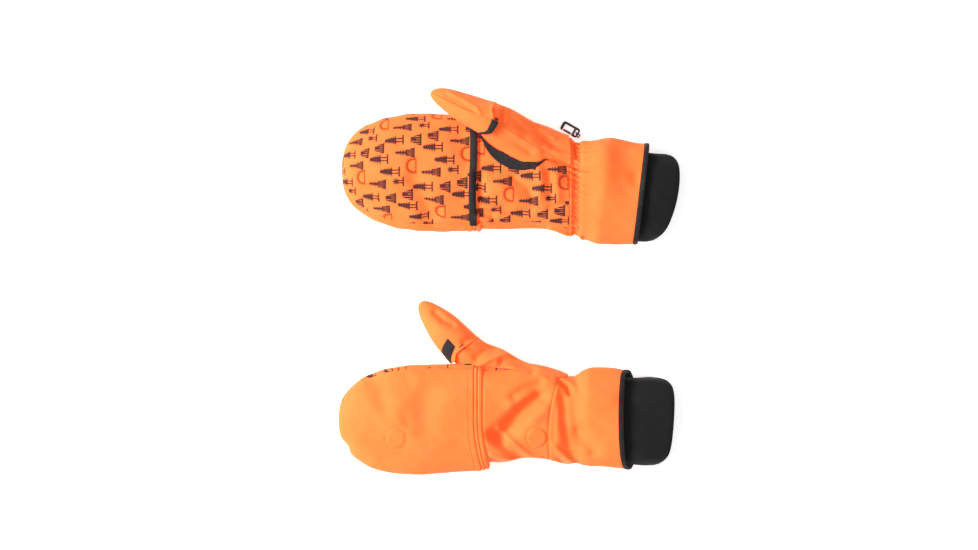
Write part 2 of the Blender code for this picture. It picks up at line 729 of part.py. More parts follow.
def clip_loop_route():
    """Closed route of the cord loop: from the side seam, through the slot and back."""
    return [Vector((102.6, 31.7, 14.5)), Vector((102.0, 33.2, 11.0)), Vector((101.5, 35.2, 7.5)),
            clip_point(2.7, 0.0, 5.2), clip_point(2.7, 0.0, 3.0), clip_point(2.4, 0.0, 1.1),
            clip_point(0.8, 0.0, 0.7), clip_point(-1.2, 0.0, 1.2), clip_point(-1.5, 0.0, 3.5),
            Vector((104.6, 33.8, 7.5)), Vector((103.7, 32.4, 11.0))]


def add_clip(hand):
    """Plastic snap clip: a body that swings on a cord loop, and a sprung gate in its side."""
    swing = Frame("clip_swing_axis", clip_point(2.6, 0.0), hand)
    body = swing.add("right_clip_body",
                     clip_prism(rounded_box(0.0, CLIP_LENGTH, -CLIP_HALF_WIDTH, CLIP_HALF_WIDTH,
                                            2.2), CLIP_LOW, CLIP_HIGH), black_plastic())
    slot = swing.add("clip_slot_cutter",
                     clip_prism([(1.6, -2.6), (3.8, -2.6), (3.8, 2.6), (1.6, 2.6)],
                                CLIP_LOW - 1.0, CLIP_HIGH + 1.0), black_plastic())
    window = swing.add("clip_window_cutter",
                       clip_prism([(5.8, -2.4), (15.2, -2.4), (15.2, 6.0), (5.8, 6.0)],
                                  CLIP_LOW - 1.0, CLIP_HIGH + 1.0), black_plastic())
    cut(body, slot)
    cut(body, window)
    gate_axis = Frame("clip_gate_axis", clip_point(*CLIP_GATE_PIVOT), swing)
    gate_axis.add("right_clip_gate",
                  clip_prism(rounded_box(6.1, 14.9, 2.2, 4.4, 1.1), CLIP_LOW + GAP,
                             CLIP_HIGH - GAP), grey_plastic())
    curve = bpy.data.curves.new("right_clip_loop", "CURVE")
    curve.dimensions = "3D"
    curve.bevel_depth = CLIP_CORD_RADIUS * MM
    curve.bevel_resolution = 1
    spline = curve.splines.new("POLY")
    route = clip_loop_route()
    spline.points.add(len(route) - 1)
    spline.use_cyclic_u = True
    for point, place in zip(spline.points, route):
        point.co = (*(place * MM), 1.0)
    curve.materials.append(black_binding())
    loop = bpy.data.objects.new("right_clip_loop", curve)
    bpy.context.collection.objects.link(loop)
    loop.parent = hand.empty


# ---------------------------------------------------------------- the pair

def hood_axis_height(mitten):
    """Height of the hood's fold: just outside the back of the hand at the fold line."""
    row = interpolate(mitten.hood, 0.0)
    return -0.5 if mitten.palm_up else row[4] + row[3] + 0.5


def build_mitten(mitten):
    """One mitten with its joints' empties, in its place on the surface."""
    home = Frame(f"{mitten.side}_mitten_frame", (0.0, 0.0, 0.0))
    home.empty.location = Vector((*mitten.place, 0.0)) * MM
    hood_hinge = Frame(f"{mitten.side}_hood_hinge", (0.0, 0.0, hood_axis_height(mitten)), home)
    add_hood(mitten, hood_hinge)
    add_stalls(mitten, home)
    trims, bore = add_thumb_cutters(mitten, home)
    add_thumb(mitten, home, trims)
    add_hand(mitten, home, bore)
    add_wrist(mitten, home)
    mouth = Vector(mitten.thumb_path[-1])
    hinge_point = mouth + outward(Vector(mitten.thumb_tip) - mouth) * CAP_HALF_WIDTH
    cap_hinge = Frame(f"{mitten.side}_thumb_cap_hinge", hinge_point, home)
    add_thumb_cap(mitten, cap_hinge)
    return home


def main():
    """Build the pair from an empty scene."""
    for old in list(bpy.data.objects):
        bpy.data.objects.remove(old, do_unlink=True)
    build_mitten(LEFT)
    right_home = build_mitten(RIGHT)
    add_clip(right_home)


main()
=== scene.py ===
"""Looks of a pair of flip-top mittens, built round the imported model.

The left mitten lies palm down and the right one palm up. Lengths here are millimetres in a
mitten's own frame, as in the model: x from the hood's fold line to the cuff, y to the thumb,
z up. Every cloth piece is a fine sheet with its real thickness, made from the same sections as
the model's solids and then creased, gathered and sewn by formulas. MM turns them into metres.
"""
import json
import math
from dataclasses import dataclass

import bmesh
import bpy
import numpy as np
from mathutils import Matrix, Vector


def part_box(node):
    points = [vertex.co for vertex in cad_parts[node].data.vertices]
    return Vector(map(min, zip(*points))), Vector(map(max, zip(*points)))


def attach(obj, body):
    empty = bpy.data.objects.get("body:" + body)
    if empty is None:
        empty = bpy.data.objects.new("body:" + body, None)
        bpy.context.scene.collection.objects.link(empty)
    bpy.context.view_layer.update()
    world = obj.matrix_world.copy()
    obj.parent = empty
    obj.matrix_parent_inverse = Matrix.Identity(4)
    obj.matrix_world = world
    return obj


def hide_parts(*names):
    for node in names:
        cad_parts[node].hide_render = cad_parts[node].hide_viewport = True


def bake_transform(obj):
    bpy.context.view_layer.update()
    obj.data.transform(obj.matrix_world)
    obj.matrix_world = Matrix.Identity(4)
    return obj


MM = 0.001
OVAL_POWER = 2.3
HOOD_PARALLEL = 40.0
HOOD_TIP_POWER = 2.5
HOOD_TIP_DROP = 5.0
MAGNET = (64.4, -16.0)
MAGNET_RADIUS = 8.5
CAP_HALF_WIDTH = 16.9
CAP_HALF_HEIGHT = 14.3
MOUTH_HALF_WIDTH = 14.0
MOUTH_HALF_HEIGHT = 11.4
CAP_TAPER = (5.9, 4.8)      # how much narrower and flatter the cap is at its tip
SHAFT_RUN = 60.0            # millimetres into the cap for each 1 of t past its mouth
OUTER_SPAN = (202.5, 450.0)  # degrees round the thumb that its outer panels cover
INNER_SPAN = (90.0, 202.5)  # degrees round it that its palm-facing panels cover
CLOTH = 1.7                 # thickness of the fleece
LINING = 0.9                # thickness of the lining
LINING_INSET = 2.5          # how far the lining's outside lies in from the fleece's
LAP = 1.2                   # how far a lapped piece lies above the one below it
LAP_SOFTNESS = 0.03         # rounding of the line where a lapped piece leaves the hand
SEAM_DEPTH = 0.9            # how far cloth turns in at a seam
SEAM_DEGREES = math.degrees(0.08)   # how wide that turn is, round the hand
THUMB_SEAM_DEGREES = 1.3 / 0.28     # the same, round the thumb
ELASTIC_X = 101.0
PUCKER_DEGREES = 7.0         # from one pucker at the elastic to the next
BACK_X = 12.4               # where the back starts, past the hood's seam strip
WRIST_X = 94.6              # where the hand's cloth ends and the gauntlet begins
CRESCENT_KNOTS = 8
CRESCENT_TURN = (112.0, 192.0)
CALM_ROUND_MAGNET = 13.0    # creases fade out this near to a magnet
LOWER_SIDE = 9.0            # no creases below this height
FLOOR_SOFTNESS = 0.7        # how softly cloth that would go through the floor flattens on it
LOWEST_INNER = 0.25         # lowest that the inside of a sheet goes
SMALL_STEP = 0.3
THREAD_END = 0.45           # a stitch's ends against its middle
HOOD_LEVEL = 35.0           # height where the hood's print starts to turn down its sides
PALM_LEVEL = 33.0           # the same for the palm's print
TURNED_HEIGHT = 34.0        # height of a mitten, to measure from its other side
RIM_ROUND = 3.0             # depth below that level before the print is stretched
RIM_STRETCH = 0.8
TIP_CENTRE_X = -60.0        # the print goes round the hood's tip from here
SHARP_DEGREES = 50.0         # edges that turn more than this stay sharp

# The studio, in metres.
VIEW_OVER = (-0.0207, 0.0056)
VIEW_HEIGHT = 3.02
LENS = 120.0
SENSOR = 36.0
FLOOR_SIZE = 6.0
FLOOR_GAP = 0.0004
WORLD_STRENGTH = 0.27
LIGHTS = (("overhead_softbox", (0.0, 0.0, 2.2), 3.2, 18.0),   # name, place, size, watts
          ("left_softbox", (-1.85, 0.1, 1.35), 0.9, 84.0),
          ("front_fill", (1.6, -1.2, 1.4), 1.4, 3.0))


@dataclass(frozen=True)
class Mitten:
    """Sections of one mitten, as in the model, and what its cloth does."""
    side: str
    palm_up: bool
    hood_length: float
    hood: tuple              # rows: x, centre y, half width, palm and back depth, middle z
    hand: tuple
    cuff: tuple
    hem_x: float
    hem_skew: float          # slant of the hem across the mitten
    hem_lean: float          # how far the palm's side of the hem reaches past its middle
    thumb_mouth: tuple
    thumb_tip: tuple
    thumb_root: tuple        # degrees round the thumb; x and degrees round the hand, twice; pull
    thumb_bulge: float
    creases: tuple           # height, width, then x, y points of each crease seen from above
    nudges: tuple            # x and y shift, reach, x, y of each bulge or dent of the outline
    valley_depth: float
    ridge_height: float
    seam_turn: float
    gather: float
    cuff_round: tuple        # y of the cuff end's furthest point, and how fast it slants off

    @property
    def up(self):
        """+1 where the palm faces up."""
        return 1.0 if self.palm_up else -1.0


LEFT = Mitten(
    side="left", palm_up=False, hood_length=118.0,
    hood=((-HOOD_PARALLEL, 0.0, 50.6, 19.4, 17.4, 18.4), (0.0, 2.0, 49.5, 19.4, 17.4, 18.4),
          (10.0, 2.0, 49.5, 19.4, 17.4, 18.4)),
    hand=((-2.0, 2.0, 45.8, 15.8, 14.9, 18.4), (10.0, 2.0, 45.8, 15.8, 14.9, 18.4),
          (15.0, 3.3, 45.2, 18.3, 18.2, 17.4), (30.0, 4.5, 44.0, 18.5, 18.0, 17.5),
          (60.0, 7.5, 42.5, 18.5, 18.0, 17.5), (85.0, 4.0, 42.5, 17.5, 17.5, 16.5),
          (97.0, 1.0, 40.5, 17.0, 17.0, 16.0), (117.0, 3.0, 45.5, 20.0, 20.0, 19.0),
          (152.0, 1.5, 46.0, 21.0, 21.0, 20.0)),
    cuff=((105.0, 2.0, 37.5, 13.5, 13.5, 16.8), (122.0, 2.0, 40.0, 15.5, 15.5, 18.6),
          (160.0, -0.3, 40.0, 16.0, 16.0, 19.4), (191.0, -1.4, 40.0, 16.0, 16.0, 15.5)),
    hem_x=146.0, hem_skew=0.0, hem_lean=7.0,
    thumb_mouth=(-5.5, 66.0, 14.8), thumb_tip=(-39.5, 107.6, 14.0),
    thumb_root=((202.5, 9.0, 30.0, 9.0, 30.0, 0.0), (225.0, 8.0, -4.0, 8.0, -4.0, 0.0),
                (247.0, 22.0, -13.0, 18.0, -10.0, 0.3), (270.0, 37.0, -23.0, 30.0, -18.0, 0.7),
                (292.0, 55.0, -34.0, 44.0, -24.0, 0.9), (315.0, 71.0, -43.0, 52.0, -26.0, 1.0),
                (337.0, 86.0, -33.0, 56.0, -20.0, 1.0), (360.0, 93.0, -12.0, 57.0, -8.0, 1.0),
                (382.0, 93.5, 12.0, 58.0, 6.0, 1.0), (405.0, 93.5, 36.0, 58.0, 20.0, 1.0),
                (427.0, 93.5, 56.0, 60.0, 38.0, 1.0), (450.0, 93.5, 70.0, 64.0, 58.0, 0.8)),
    thumb_bulge=3.4,
    creases=(
        (1.6, 6.0, (80.0, 38.0), (66.0, 29.0), (50.0, 20.0), (42.0, 14.0)),
        (-4.6, 8.0, (66.0, 21.0), (50.0, 8.0), (41.0, -3.0), (30.0, -14.0)),
        (-1.6, 5.0, (67.0, 33.0), (52.0, 27.0), (44.0, 22.0)),
        (1.9, 3.0, (29.0, -8.0), (44.0, -22.5), (58.0, -33.0), (67.0, -36.0)),
        (-2.0, 5.0, (22.0, -14.0), (36.0, -26.0), (50.0, -35.0)),
        (2.0, 2.6, (18.0, -33.0), (30.0, -34.5), (42.0, -37.5)),
        (-1.6, 3.6, (16.0, -39.0), (30.0, -41.0)),
        (1.5, 6.0, (62.0, 2.0), (70.0, 10.0), (75.0, 20.0)),
        (-1.8, 9.0, (-84.0, 36.0), (-70.0, 33.0), (-56.0, 34.0)),
        (-0.8, 6.0, (-80.0, 22.0), (-74.0, 10.0)),
        (-0.9, 11.0, (-37.0, 26.0), (-40.0, -6.0)),
        (0.8, 12.0, (-60.0, 16.0), (-58.0, -2.0)),
        (0.6, 12.0, (-17.0, 26.0), (-18.0, -20.0)),
        (-0.6, 5.0, (-56.0, 4.0), (-54.0, -4.0)),
        (1.5, 2.4, (8.0, 48.5), (22.0, 56.0), (38.0, 58.5), (52.0, 58.0)),
        (-2.0, 4.0, (32.0, 52.0), (44.0, 52.0), (60.0, 46.0)),
        (1.3, 3.0, (36.0, 48.0), (55.0, 46.0), (72.0, 41.0)),
        (-1.3, 4.0, (8.0, 57.0), (16.0, 62.0), (24.0, 63.0)),
        (1.2, 5.0, (-3.0, 66.0), (8.0, 70.0), (14.0, 71.0)),
        (-1.3, 3.2, (-27.0, 98.0), (-20.0, 91.0), (-14.0, 88.0)),
        (0.9, 4.0, (-24.0, 83.0), (-12.0, 81.0), (-2.0, 78.0)),
        (-1.4, 3.0, (-3.5, 71.0), (2.0, 74.5), (8.0, 77.0)),
        (-1.8, 6.0, (104.0, -10.0), (110.0, -20.0), (116.0, -28.0)),
        (1.8, 3.0, (80.0, -23.0), (90.0, -32.0), (99.0, -38.5)),
        (-1.8, 3.4, (86.0, -36.0), (96.0, -42.0)),
        (-1.0, 4.0, (88.0, 20.0), (90.0, -4.0), (96.0, -30.0)),
        (1.0, 4.0, (82.0, 30.0), (84.0, 6.0), (84.0, -20.0)),
        (-1.5, 2.4, (86.0, 36.0), (92.0, 31.0), (95.0, 24.0)),
        (1.3, 2.6, (90.0, 39.0), (97.0, 34.0), (100.0, 27.0)),
        (1.2, 8.0, (104.0, 24.0), (132.0, 22.0))),
    nudges=((-2.2, 0.0, 18.0, -37.7, 92.0), (-2.0, 0.8, 12.0, -42.0, 108.0),
            (-1.8, 0.0, 12.0, -28.0, 72.0), (1.0, 3.0, 16.0, 37.7, 66.0),
            (0.0, -2.2, 12.0, 88.0, 47.0), (0.0, -0.8, 14.0, 73.0, 50.0),
            (-1.5, -2.2, 12.0, 151.0, 46.0), (0.0, 1.0, 8.0, 107.0, 43.0),
            (-1.0, 3.2, 9.0, 16.0, -46.0), (-1.2, -2.2, 26.0, -84.0, -41.0),
            (0.0, -1.8, 18.0, 93.0, -38.6), (0.0, -1.0, 20.0, 146.0, -44.0),
            (0.0, -1.0, 16.0, 166.5, -41.4), (2.6, 0.6, 6.0, -113.0, -25.0)),
    valley_depth=2.35, ridge_height=1.5, seam_turn=20.0, gather=1.1, cuff_round=(18.0, 0.0016))

RIGHT = Mitten(
    side="right", palm_up=True, hood_length=115.0,
    hood=((-HOOD_PARALLEL, 0.0, 54.0, 19.5, 17.0, 16.0), (0.0, -0.5, 54.0, 19.5, 17.0, 16.0),
          (10.0, -0.5, 54.0, 19.5, 17.0, 16.0)),
    hand=((-2.0, -0.5, 51.0, 16.7, 14.4, 16.0), (10.0, -0.5, 51.0, 16.7, 14.4, 16.0),
          (14.0, -0.6, 51.0, 17.3, 17.0, 16.0), (40.0, -1.5, 50.5, 17.5, 17.0, 16.0),
          (75.0, -6.0, 47.0, 17.5, 17.0, 16.0), (96.0, -13.0, 45.5, 16.5, 16.5, 15.6),
          (110.0, -17.0, 45.5, 17.5, 17.5, 16.6), (128.0, -16.8, 49.5, 20.0, 20.0, 19.0),
          (166.0, -19.0, 47.0, 20.0, 20.0, 19.0)),
    cuff=((106.0, -16.0, 41.0, 13.5, 13.5, 16.4), (128.0, -18.0, 41.0, 15.0, 15.0, 18.2),
          (170.0, -21.0, 41.0, 15.5, 15.5, 18.7), (196.0, -24.0, 41.0, 15.0, 15.0, 14.5)),
    hem_x=158.0, hem_skew=0.115, hem_lean=0.0,
    thumb_mouth=(18.4, 49.7, 42.5), thumb_tip=(-30.5, 73.6, 38.0),
    thumb_root=((202.5, 12.6, 51.0, 12.6, 51.0, 0.0), (225.0, 11.5, 20.0, 11.5, 20.0, 0.0),
                (247.0, 15.0, -10.0, 15.0, -5.0, 0.2), (270.0, 32.0, -34.0, 28.0, -20.0, 0.5),
                (292.0, 56.0, -42.0, 46.0, -28.0, 0.8), (315.0, 79.0, -37.0, 60.0, -20.0, 1.0),
                (337.0, 91.0, -20.0, 64.0, -8.0, 1.0), (360.0, 94.0, 0.0, 66.0, 6.0, 1.0),
                (382.0, 94.5, 20.0, 67.0, 22.0, 1.0), (405.0, 95.0, 40.0, 68.0, 38.0, 1.0),
                (427.0, 95.5, 57.0, 70.0, 52.0, 1.0), (450.0, 95.5, 71.0, 74.0, 64.0, 0.9)),
    thumb_bulge=2.4,
    creases=(
        (-2.4, 9.0, (-47.0, -8.0), (-40.0, -22.0), (-32.0, -39.0)),
        (-1.2, 9.0, (-4.0, 30.0), (-1.0, 8.0), (0.0, -18.0)),
        (1.0, 13.0, (-26.0, 20.0), (-24.0, -16.0)),
        (-0.7, 8.0, (-58.0, -22.0), (-62.0, -34.0)),
        (-0.8, 9.0, (-60.0, 24.0), (-48.0, 10.0)),
        (0.7, 12.0, (-88.0, 10.0), (-80.0, -20.0)),
        (-2.6, 5.0, (12.0, -4.0), (13.0, -14.0), (14.0, -24.0)),
        (1.6, 2.6, (10.0, -42.0), (20.0, -44.0)),
        (-1.5, 3.0, (12.0, -37.0), (24.0, -38.5)),
        (-1.5, 3.6, (75.0, -2.0), (76.5, -12.0), (78.0, -25.0)),
        (1.1, 4.0, (83.0, -2.0), (84.0, -22.0)),
        (-1.2, 3.0, (76.0, -33.0), (92.0, -29.0)),
        (1.3, 4.0, (66.0, 4.0), (68.0, -12.0), (66.0, -26.0)),
        (-1.3, 4.0, (44.0, -6.0), (56.0, -14.0), (62.0, -26.0)),
        (1.1, 6.0, (30.0, -12.0), (46.0, -24.0)),
        (-1.2, 4.0, (30.0, -33.0), (44.0, -38.0), (58.0, -36.0)),
        (2.2, 3.0, (78.0, -53.0), (92.0, -58.0), (104.0, -61.0)),
        (-2.2, 3.0, (32.0, 62.0), (31.5, 54.0), (30.5, 46.0)),
        (1.2, 3.4, (26.0, 63.0), (26.0, 52.0)),
        (1.4, 3.0, (66.0, 44.0), (73.0, 38.0), (80.0, 32.0)),
        (-1.6, 4.5, (56.0, 41.0), (66.0, 34.0), (78.0, 24.0)),
        (-1.6, 5.0, (40.0, 50.0), (48.0, 42.0), (54.0, 34.0)),
        (1.2, 5.0, (46.0, 52.0), (58.0, 44.0)),
        (-1.4, 3.4, (72.0, 16.0), (84.0, 10.0), (94.0, 8.0)),
        (1.3, 3.0, (74.0, 22.0), (86.0, 16.0), (95.0, 14.0)),
        (-1.3, 4.0, (30.0, 33.0), (44.0, 25.0), (58.0, 19.0)),
        (1.0, 2.0, (-15.0, 73.0), (-3.0, 68.0), (9.0, 60.0), (13.0, 53.0)),
        (-0.8, 3.0, (-16.0, 69.5), (-4.0, 64.0), (7.0, 56.5)),
        (1.5, 11.0, (124.0, 22.0), (125.0, -10.0)),
        (-1.3, 12.0, (146.0, 14.0), (148.0, -16.0)),
        (-1.2, 6.0, (155.0, -2.0), (156.0, -12.0))),
    nudges=((-1.5, 1.2, 22.0, -105.0, 36.0), (0.0, -2.6, 20.0, -3.2, 72.0),
            (-2.0, -0.8, 12.0, -31.0, 72.0), (0.0, -1.5, 14.0, 22.0, 66.0),
            (0.0, -1.5, 14.0, 82.0, 40.0), (0.0, -3.8, 22.0, 156.0, 27.0),
            (0.0, -2.0, 16.0, 91.0, -57.5), (0.0, -1.2, 18.0, 31.0, -52.5),
            (0.0, -0.8, 30.0, -26.0, -54.0), (0.0, -0.8, 25.0, 142.0, -67.0)),
    valley_depth=1.85, ridge_height=1.7, seam_turn=28.0, gather=2.9, cuff_round=(-2.0, 0.0045))

# Black insert at the thumb's root: x, y along its thumb edge, then along its palm edge.
CRESCENT_UPPER = ((12.6, 33.0), (21.0, 24.8), (31.0, 18.4), (41.5, 12.9), (52.5, 8.6),
                  (62.0, 8.0), (72.7, 11.0))
CRESCENT_LOWER = ((12.9, 31.0), (17.4, 21.0), (24.0, 12.6), (32.0, 6.4), (40.5, 2.4),
                  (50.0, 0.8), (61.0, 2.2), (72.8, 10.4))
# Middle line of the clip's cord, once round.
CLIP_LOOP = ((102.6, 31.7, 14.5), (102.0, 33.2, 11.0), (101.5, 35.2, 7.5), (101.3, 36.5, 5.2),
             (101.3, 36.5, 3.0), (101.5, 36.4, 1.1), (102.9, 35.6, 0.7), (104.6, 34.6, 1.2),
             (104.9, 34.5, 3.5), (104.6, 33.8, 7.5), (103.7, 32.4, 11.0))


# ---------------------------------------------------------------- numbers and curves

def through_rows(rows, x):
    """Values of the rows' other columns at each x, on a smooth curve that never overshoots."""
    rows = np.array(rows, float)
    xs, ys = rows[:, 0], rows[:, 1:]
    slope = np.diff(ys, axis=0) / np.diff(xs)[:, None]
    tangent = np.zeros_like(ys)
    tangent[0], tangent[-1] = slope[0], slope[-1]
    same = slope[:-1] * slope[1:] > 0.0
    total = np.where(same, slope[:-1] + slope[1:], 1.0)
    tangent[1:-1] = np.where(same, 2.0 * slope[:-1] * slope[1:] / total, 0.0)
    x = np.clip(x, xs[0], xs[-1])
    i = np.clip(np.searchsorted(xs, x, side="right") - 1, 0, len(xs) - 2)
    span = (xs[i + 1] - xs[i])[..., None]
    t = (x - xs[i])[..., None] / span
    return (ys[i] * (2 * t ** 3 - 3 * t ** 2 + 1) + tangent[i] * span * (t ** 3 - 2 * t ** 2 + t)
            + ys[i + 1] * (-2 * t ** 3 + 3 * t ** 2) + tangent[i + 1] * span * (t ** 3 - t ** 2))


def along(points, count):
    """Points evenly along a smooth curve through the given ones."""
    points = np.array(points, float)
    lengths = np.concatenate([[0.0], np.cumsum(np.linalg.norm(np.diff(points, axis=0), axis=1))])
    rows = np.column_stack([lengths, points])
    return through_rows(rows, np.linspace(0.0, lengths[-1], count))


def smooth_step(value):
    """0 below 0, 1 above 1, and smooth between."""
    t = np.clip(value, 0.0, 1.0)
    return t * t * (3.0 - 2.0 * t)


def unit(vectors):
    """Vectors at length 1."""
    return vectors / np.maximum(np.linalg.norm(vectors, axis=-1, keepdims=True), 1e-9)


def power(value, exponent):
    """Signed power, for superellipse points."""
    return np.sign(value) * np.abs(value) ** exponent


def oval(angle, half_width, palm, back):
    """Point of a tube section: across, and out of the palm (+) or the back (-)."""
    turn = np.radians(angle)
    depth = np.where(np.sin(turn) > 0.0, palm, back)
    return (half_width * power(np.cos(turn), 2.0 / OVAL_POWER),
            depth * power(np.sin(turn), 2.0 / OVAL_POWER))


def spaced_angles(start, end, count, half_width=48.0, half_height=17.5):
    """Angles round a section between two others, at even distances along it."""
    fine = np.linspace(start, end, 2000)
    across, out = oval(fine, half_width, half_height, half_height)
    run = np.concatenate([[0.0], np.cumsum(np.hypot(np.diff(across), np.diff(out)))])
    return np.interp(np.linspace(0.0, run[-1], count), run, fine)


def distance_to_path(x, y, path):
    """Distance in plan from each x, y to a path of straight runs."""
    nearest = np.full(np.shape(x), 1e9)
    for (ax, ay), (bx, by) in zip(path, path[1:]):
        dx, dy = bx - ax, by - ay
        t = np.clip(((x - ax) * dx + (y - ay) * dy) / (dx * dx + dy * dy), 0.0, 1.0)
        nearest = np.minimum(nearest, np.hypot(x - ax - t * dx, y - ay - t * dy))
    return nearest


def ripple(x, y, seed, lengths, count=5):
    """Smooth random ripple of about height 1, from waves between two lengths."""
    rng = np.random.default_rng(seed)
    total = np.zeros(np.shape(x))
    for _ in range(count):
        way, phase = rng.uniform(0.0, math.tau, 2)
        length = rng.uniform(*lengths)
        total += np.sin((x * math.cos(way) + y * math.sin(way)) * math.tau / length + phase)
    return total / math.sqrt(count)


# ---------------------------------------------------------------- surfaces before creasing

def section(m, x, row, angle, inset, hem):
    """Point on one section of a tube, inset from its outside."""
    centre, half_width, palm, back, mid = np.moveaxis(row, -1, 0)
    across, out = oval(angle, half_width - inset, palm - inset, back - inset)
    shift = hem * (m.hem_skew * across + m.hem_lean * out / palm)
    return np.stack([x + shift, centre + across, mid + m.up * out], axis=-1)


def gathers(m, x, angle):
    """How far the cloth puckers in round the elastic at the wrist."""
    rng = np.random.default_rng(7 if m.palm_up else 8)
    past = x - ELASTIC_X
    depth = 0.9 * np.exp(-(past / 4.0) ** 4)
    for centre in np.arange(0.0, 360.0, PUCKER_DEGREES):
        near = (angle - centre - rng.uniform(-2.0, 2.0) + 180.0) % 360.0 - 180.0
        reach = rng.uniform(7.0, 17.0)
        near = near + rng.uniform(-0.3, 0.3) * past
        pull = np.exp(-(near / 2.4) ** 2) * np.exp(-np.abs(past / reach) ** 1.6)
        depth = depth + rng.uniform(0.4, 1.2) * pull
    if not m.palm_up:
        depth = depth * (1.0 - 0.8 * np.exp(-((angle % 360.0 - 270.0) / 50.0) ** 2))
    return m.gather * depth


def hem_share(x):
    """How far the section has turned from square on, at the wrist, to the hem's slant."""
    return smooth_step((x - 97.0) / 31.0)


def hand_point(m, x, angle, inset=0.0):
    """Hand and gauntlet tube."""
    x, angle = np.broadcast_arrays(np.asarray(x, float), np.asarray(angle, float))
    inset = inset + gathers(m, x, angle)
    return section(m, x, through_rows(m.hand, x), angle, inset, hem_share(x))


def cuff_point(m, x, angle, inset=0.0):
    """Knit storm cuff, whose end rounds off towards its sides."""
    x, angle = np.broadcast_arrays(np.asarray(x, float), np.asarray(angle, float))
    late = smooth_step((x - 150.0) / 40.0)
    row = through_rows(m.cuff, x)
    points = section(m, x, row, angle, inset, hem_share(x) * (1.0 - late))
    furthest, slant = m.cuff_round
    side = np.abs(points[..., 1] - row[..., 0]) / row[..., 1]
    slanted = slant * np.maximum(furthest - points[..., 1], 0.0) ** 2
    points[..., 0] -= late * (slanted + 11.0 * side ** 8)
    folds = np.sin(np.radians(angle) * 9.0 + 0.03 * x) + np.sin(np.radians(angle) * 5.0 + 1.3)
    points[..., 2] += 0.35 * folds * smooth_step((points[..., 2] - 8.0) / 10.0)
    return points


def hood_point(m, station, angle, inset=0.0):
    """Hood: station -1 is its tip, 0 the start of its rounding, then millimetres onwards."""
    station, angle = np.broadcast_arrays(np.asarray(station, float), np.asarray(angle, float))
    row = through_rows(m.hood, np.maximum(station, 0.0) - HOOD_PARALLEL)
    centre, half_width, palm, back, mid = np.moveaxis(row, -1, 0)
    early = np.minimum(station, 0.0)
    x = np.where(station < 0.0, station * (m.hood_length - inset - HOOD_PARALLEL), station)
    keep = np.maximum(1.0 - early ** 2, 0.0) ** (1.0 / HOOD_TIP_POWER)
    row = np.stack([centre, inset + (half_width - inset) * keep, inset + (palm - inset) * keep,
                    inset + (back - inset) * keep, mid - HOOD_TIP_DROP * early ** 2], axis=-1)
    return section(m, x - HOOD_PARALLEL, row, angle, inset, 0.0)


def thumb_frame(m):
    """The cap's mouth, the way to its tip, the thumb's outer side and the cap's length."""
    mouth, tip = np.array(m.thumb_mouth), np.array(m.thumb_tip)
    way = unit(tip - mouth)
    outer = unit(np.array([way[1], -way[0], 0.0]))
    return mouth, way, outer * np.sign(outer[0]), float(np.linalg.norm(tip - mouth))


def thumb_ring(m, angle, reach, half_width, half_height):
    """Points round the thumb's line: 0 is its outer side, 90 faces the palm, 180 the fingers."""
    mouth, way, outer, _ = thumb_frame(m)
    turn = np.radians(angle)[..., None]
    upward = np.array([0.0, 0.0, m.up])
    return (mouth + way * reach[..., None] + outer * half_width[..., None] * np.cos(turn)
            + upward * half_height[..., None] * np.sin(turn))


def cap_point(m, s, angle, inset=0.0):
    """Thumb cap: s is 0 at its mouth, 1 at its tip, and below 0 over the thumb."""
    s, angle = np.broadcast_arrays(np.asarray(s, float), np.asarray(angle, float))
    length = thumb_frame(m)[3]
    ahead = np.maximum(s, 0.0)
    keep = np.sqrt(np.maximum(1.0 - ahead ** 4, 0.0))
    reach = np.where(s > 0.0, s * (length - inset), s * length)
    return thumb_ring(m, angle, reach, (CAP_HALF_WIDTH - CAP_TAPER[0] * ahead - inset) * keep,
                      (CAP_HALF_HEIGHT - CAP_TAPER[1] * ahead - inset) * keep)


def root_curve(m, angle):
    """Where the thumb's cloth meets the hand and where it leaves it, in x and degrees; pull."""
    knots = [(row[0] - 360.0, *row[1:]) for row in m.thumb_root[-3:]]
    crescent = along(CRESCENT_UPPER, CRESCENT_KNOTS)[::-1]
    row = through_rows(m.hand, crescent[:, 0])
    share = np.clip((crescent[:, 1] - row[:, 0]) / row[:, 1], -1.0, 1.0)
    turn = np.degrees(np.arccos(power(share, OVAL_POWER / 2.0)))
    places = np.linspace(*CRESCENT_TURN, CRESCENT_KNOTS)
    for place, x, degrees in zip(places, crescent[:, 0], turn):
        knots.append((place, x, degrees, x, degrees, 0.0))
    knots += list(m.thumb_root)
    knots += [(knots[3][0] + 360.0, *knots[3][1:])]
    return through_rows(knots, (angle - 90.0) % 360.0 + 90.0)


def clear_of_hand(m, points, lap):
    """Points moved out so that they lie at least a lap above the hand's surface."""
    row = through_rows(m.hand, points[..., 0])
    centre, half_width, palm, back, mid = np.moveaxis(row, -1, 0)
    across = points[..., 1] - centre
    out = (points[..., 2] - mid) * m.up
    depth = np.where(out > 0.0, palm, back)
    radius = (np.abs(across / half_width) ** OVAL_POWER
              + np.abs(out / depth) ** OVAL_POWER) ** (1.0 / OVAL_POWER)
    radius = np.maximum(radius, 0.05)
    wanted = 1.0 + lap * radius / np.hypot(across, out)
    grown = 0.5 * (radius + wanted + np.hypot(radius - wanted, LAP_SOFTNESS))
    scale = np.where(points[..., 0] > 0.0, grown / radius, 1.0)
    moved = points.copy()
    moved[..., 1] = centre + across * scale
    moved[..., 2] = mid + (points[..., 2] - mid) * scale
    return moved


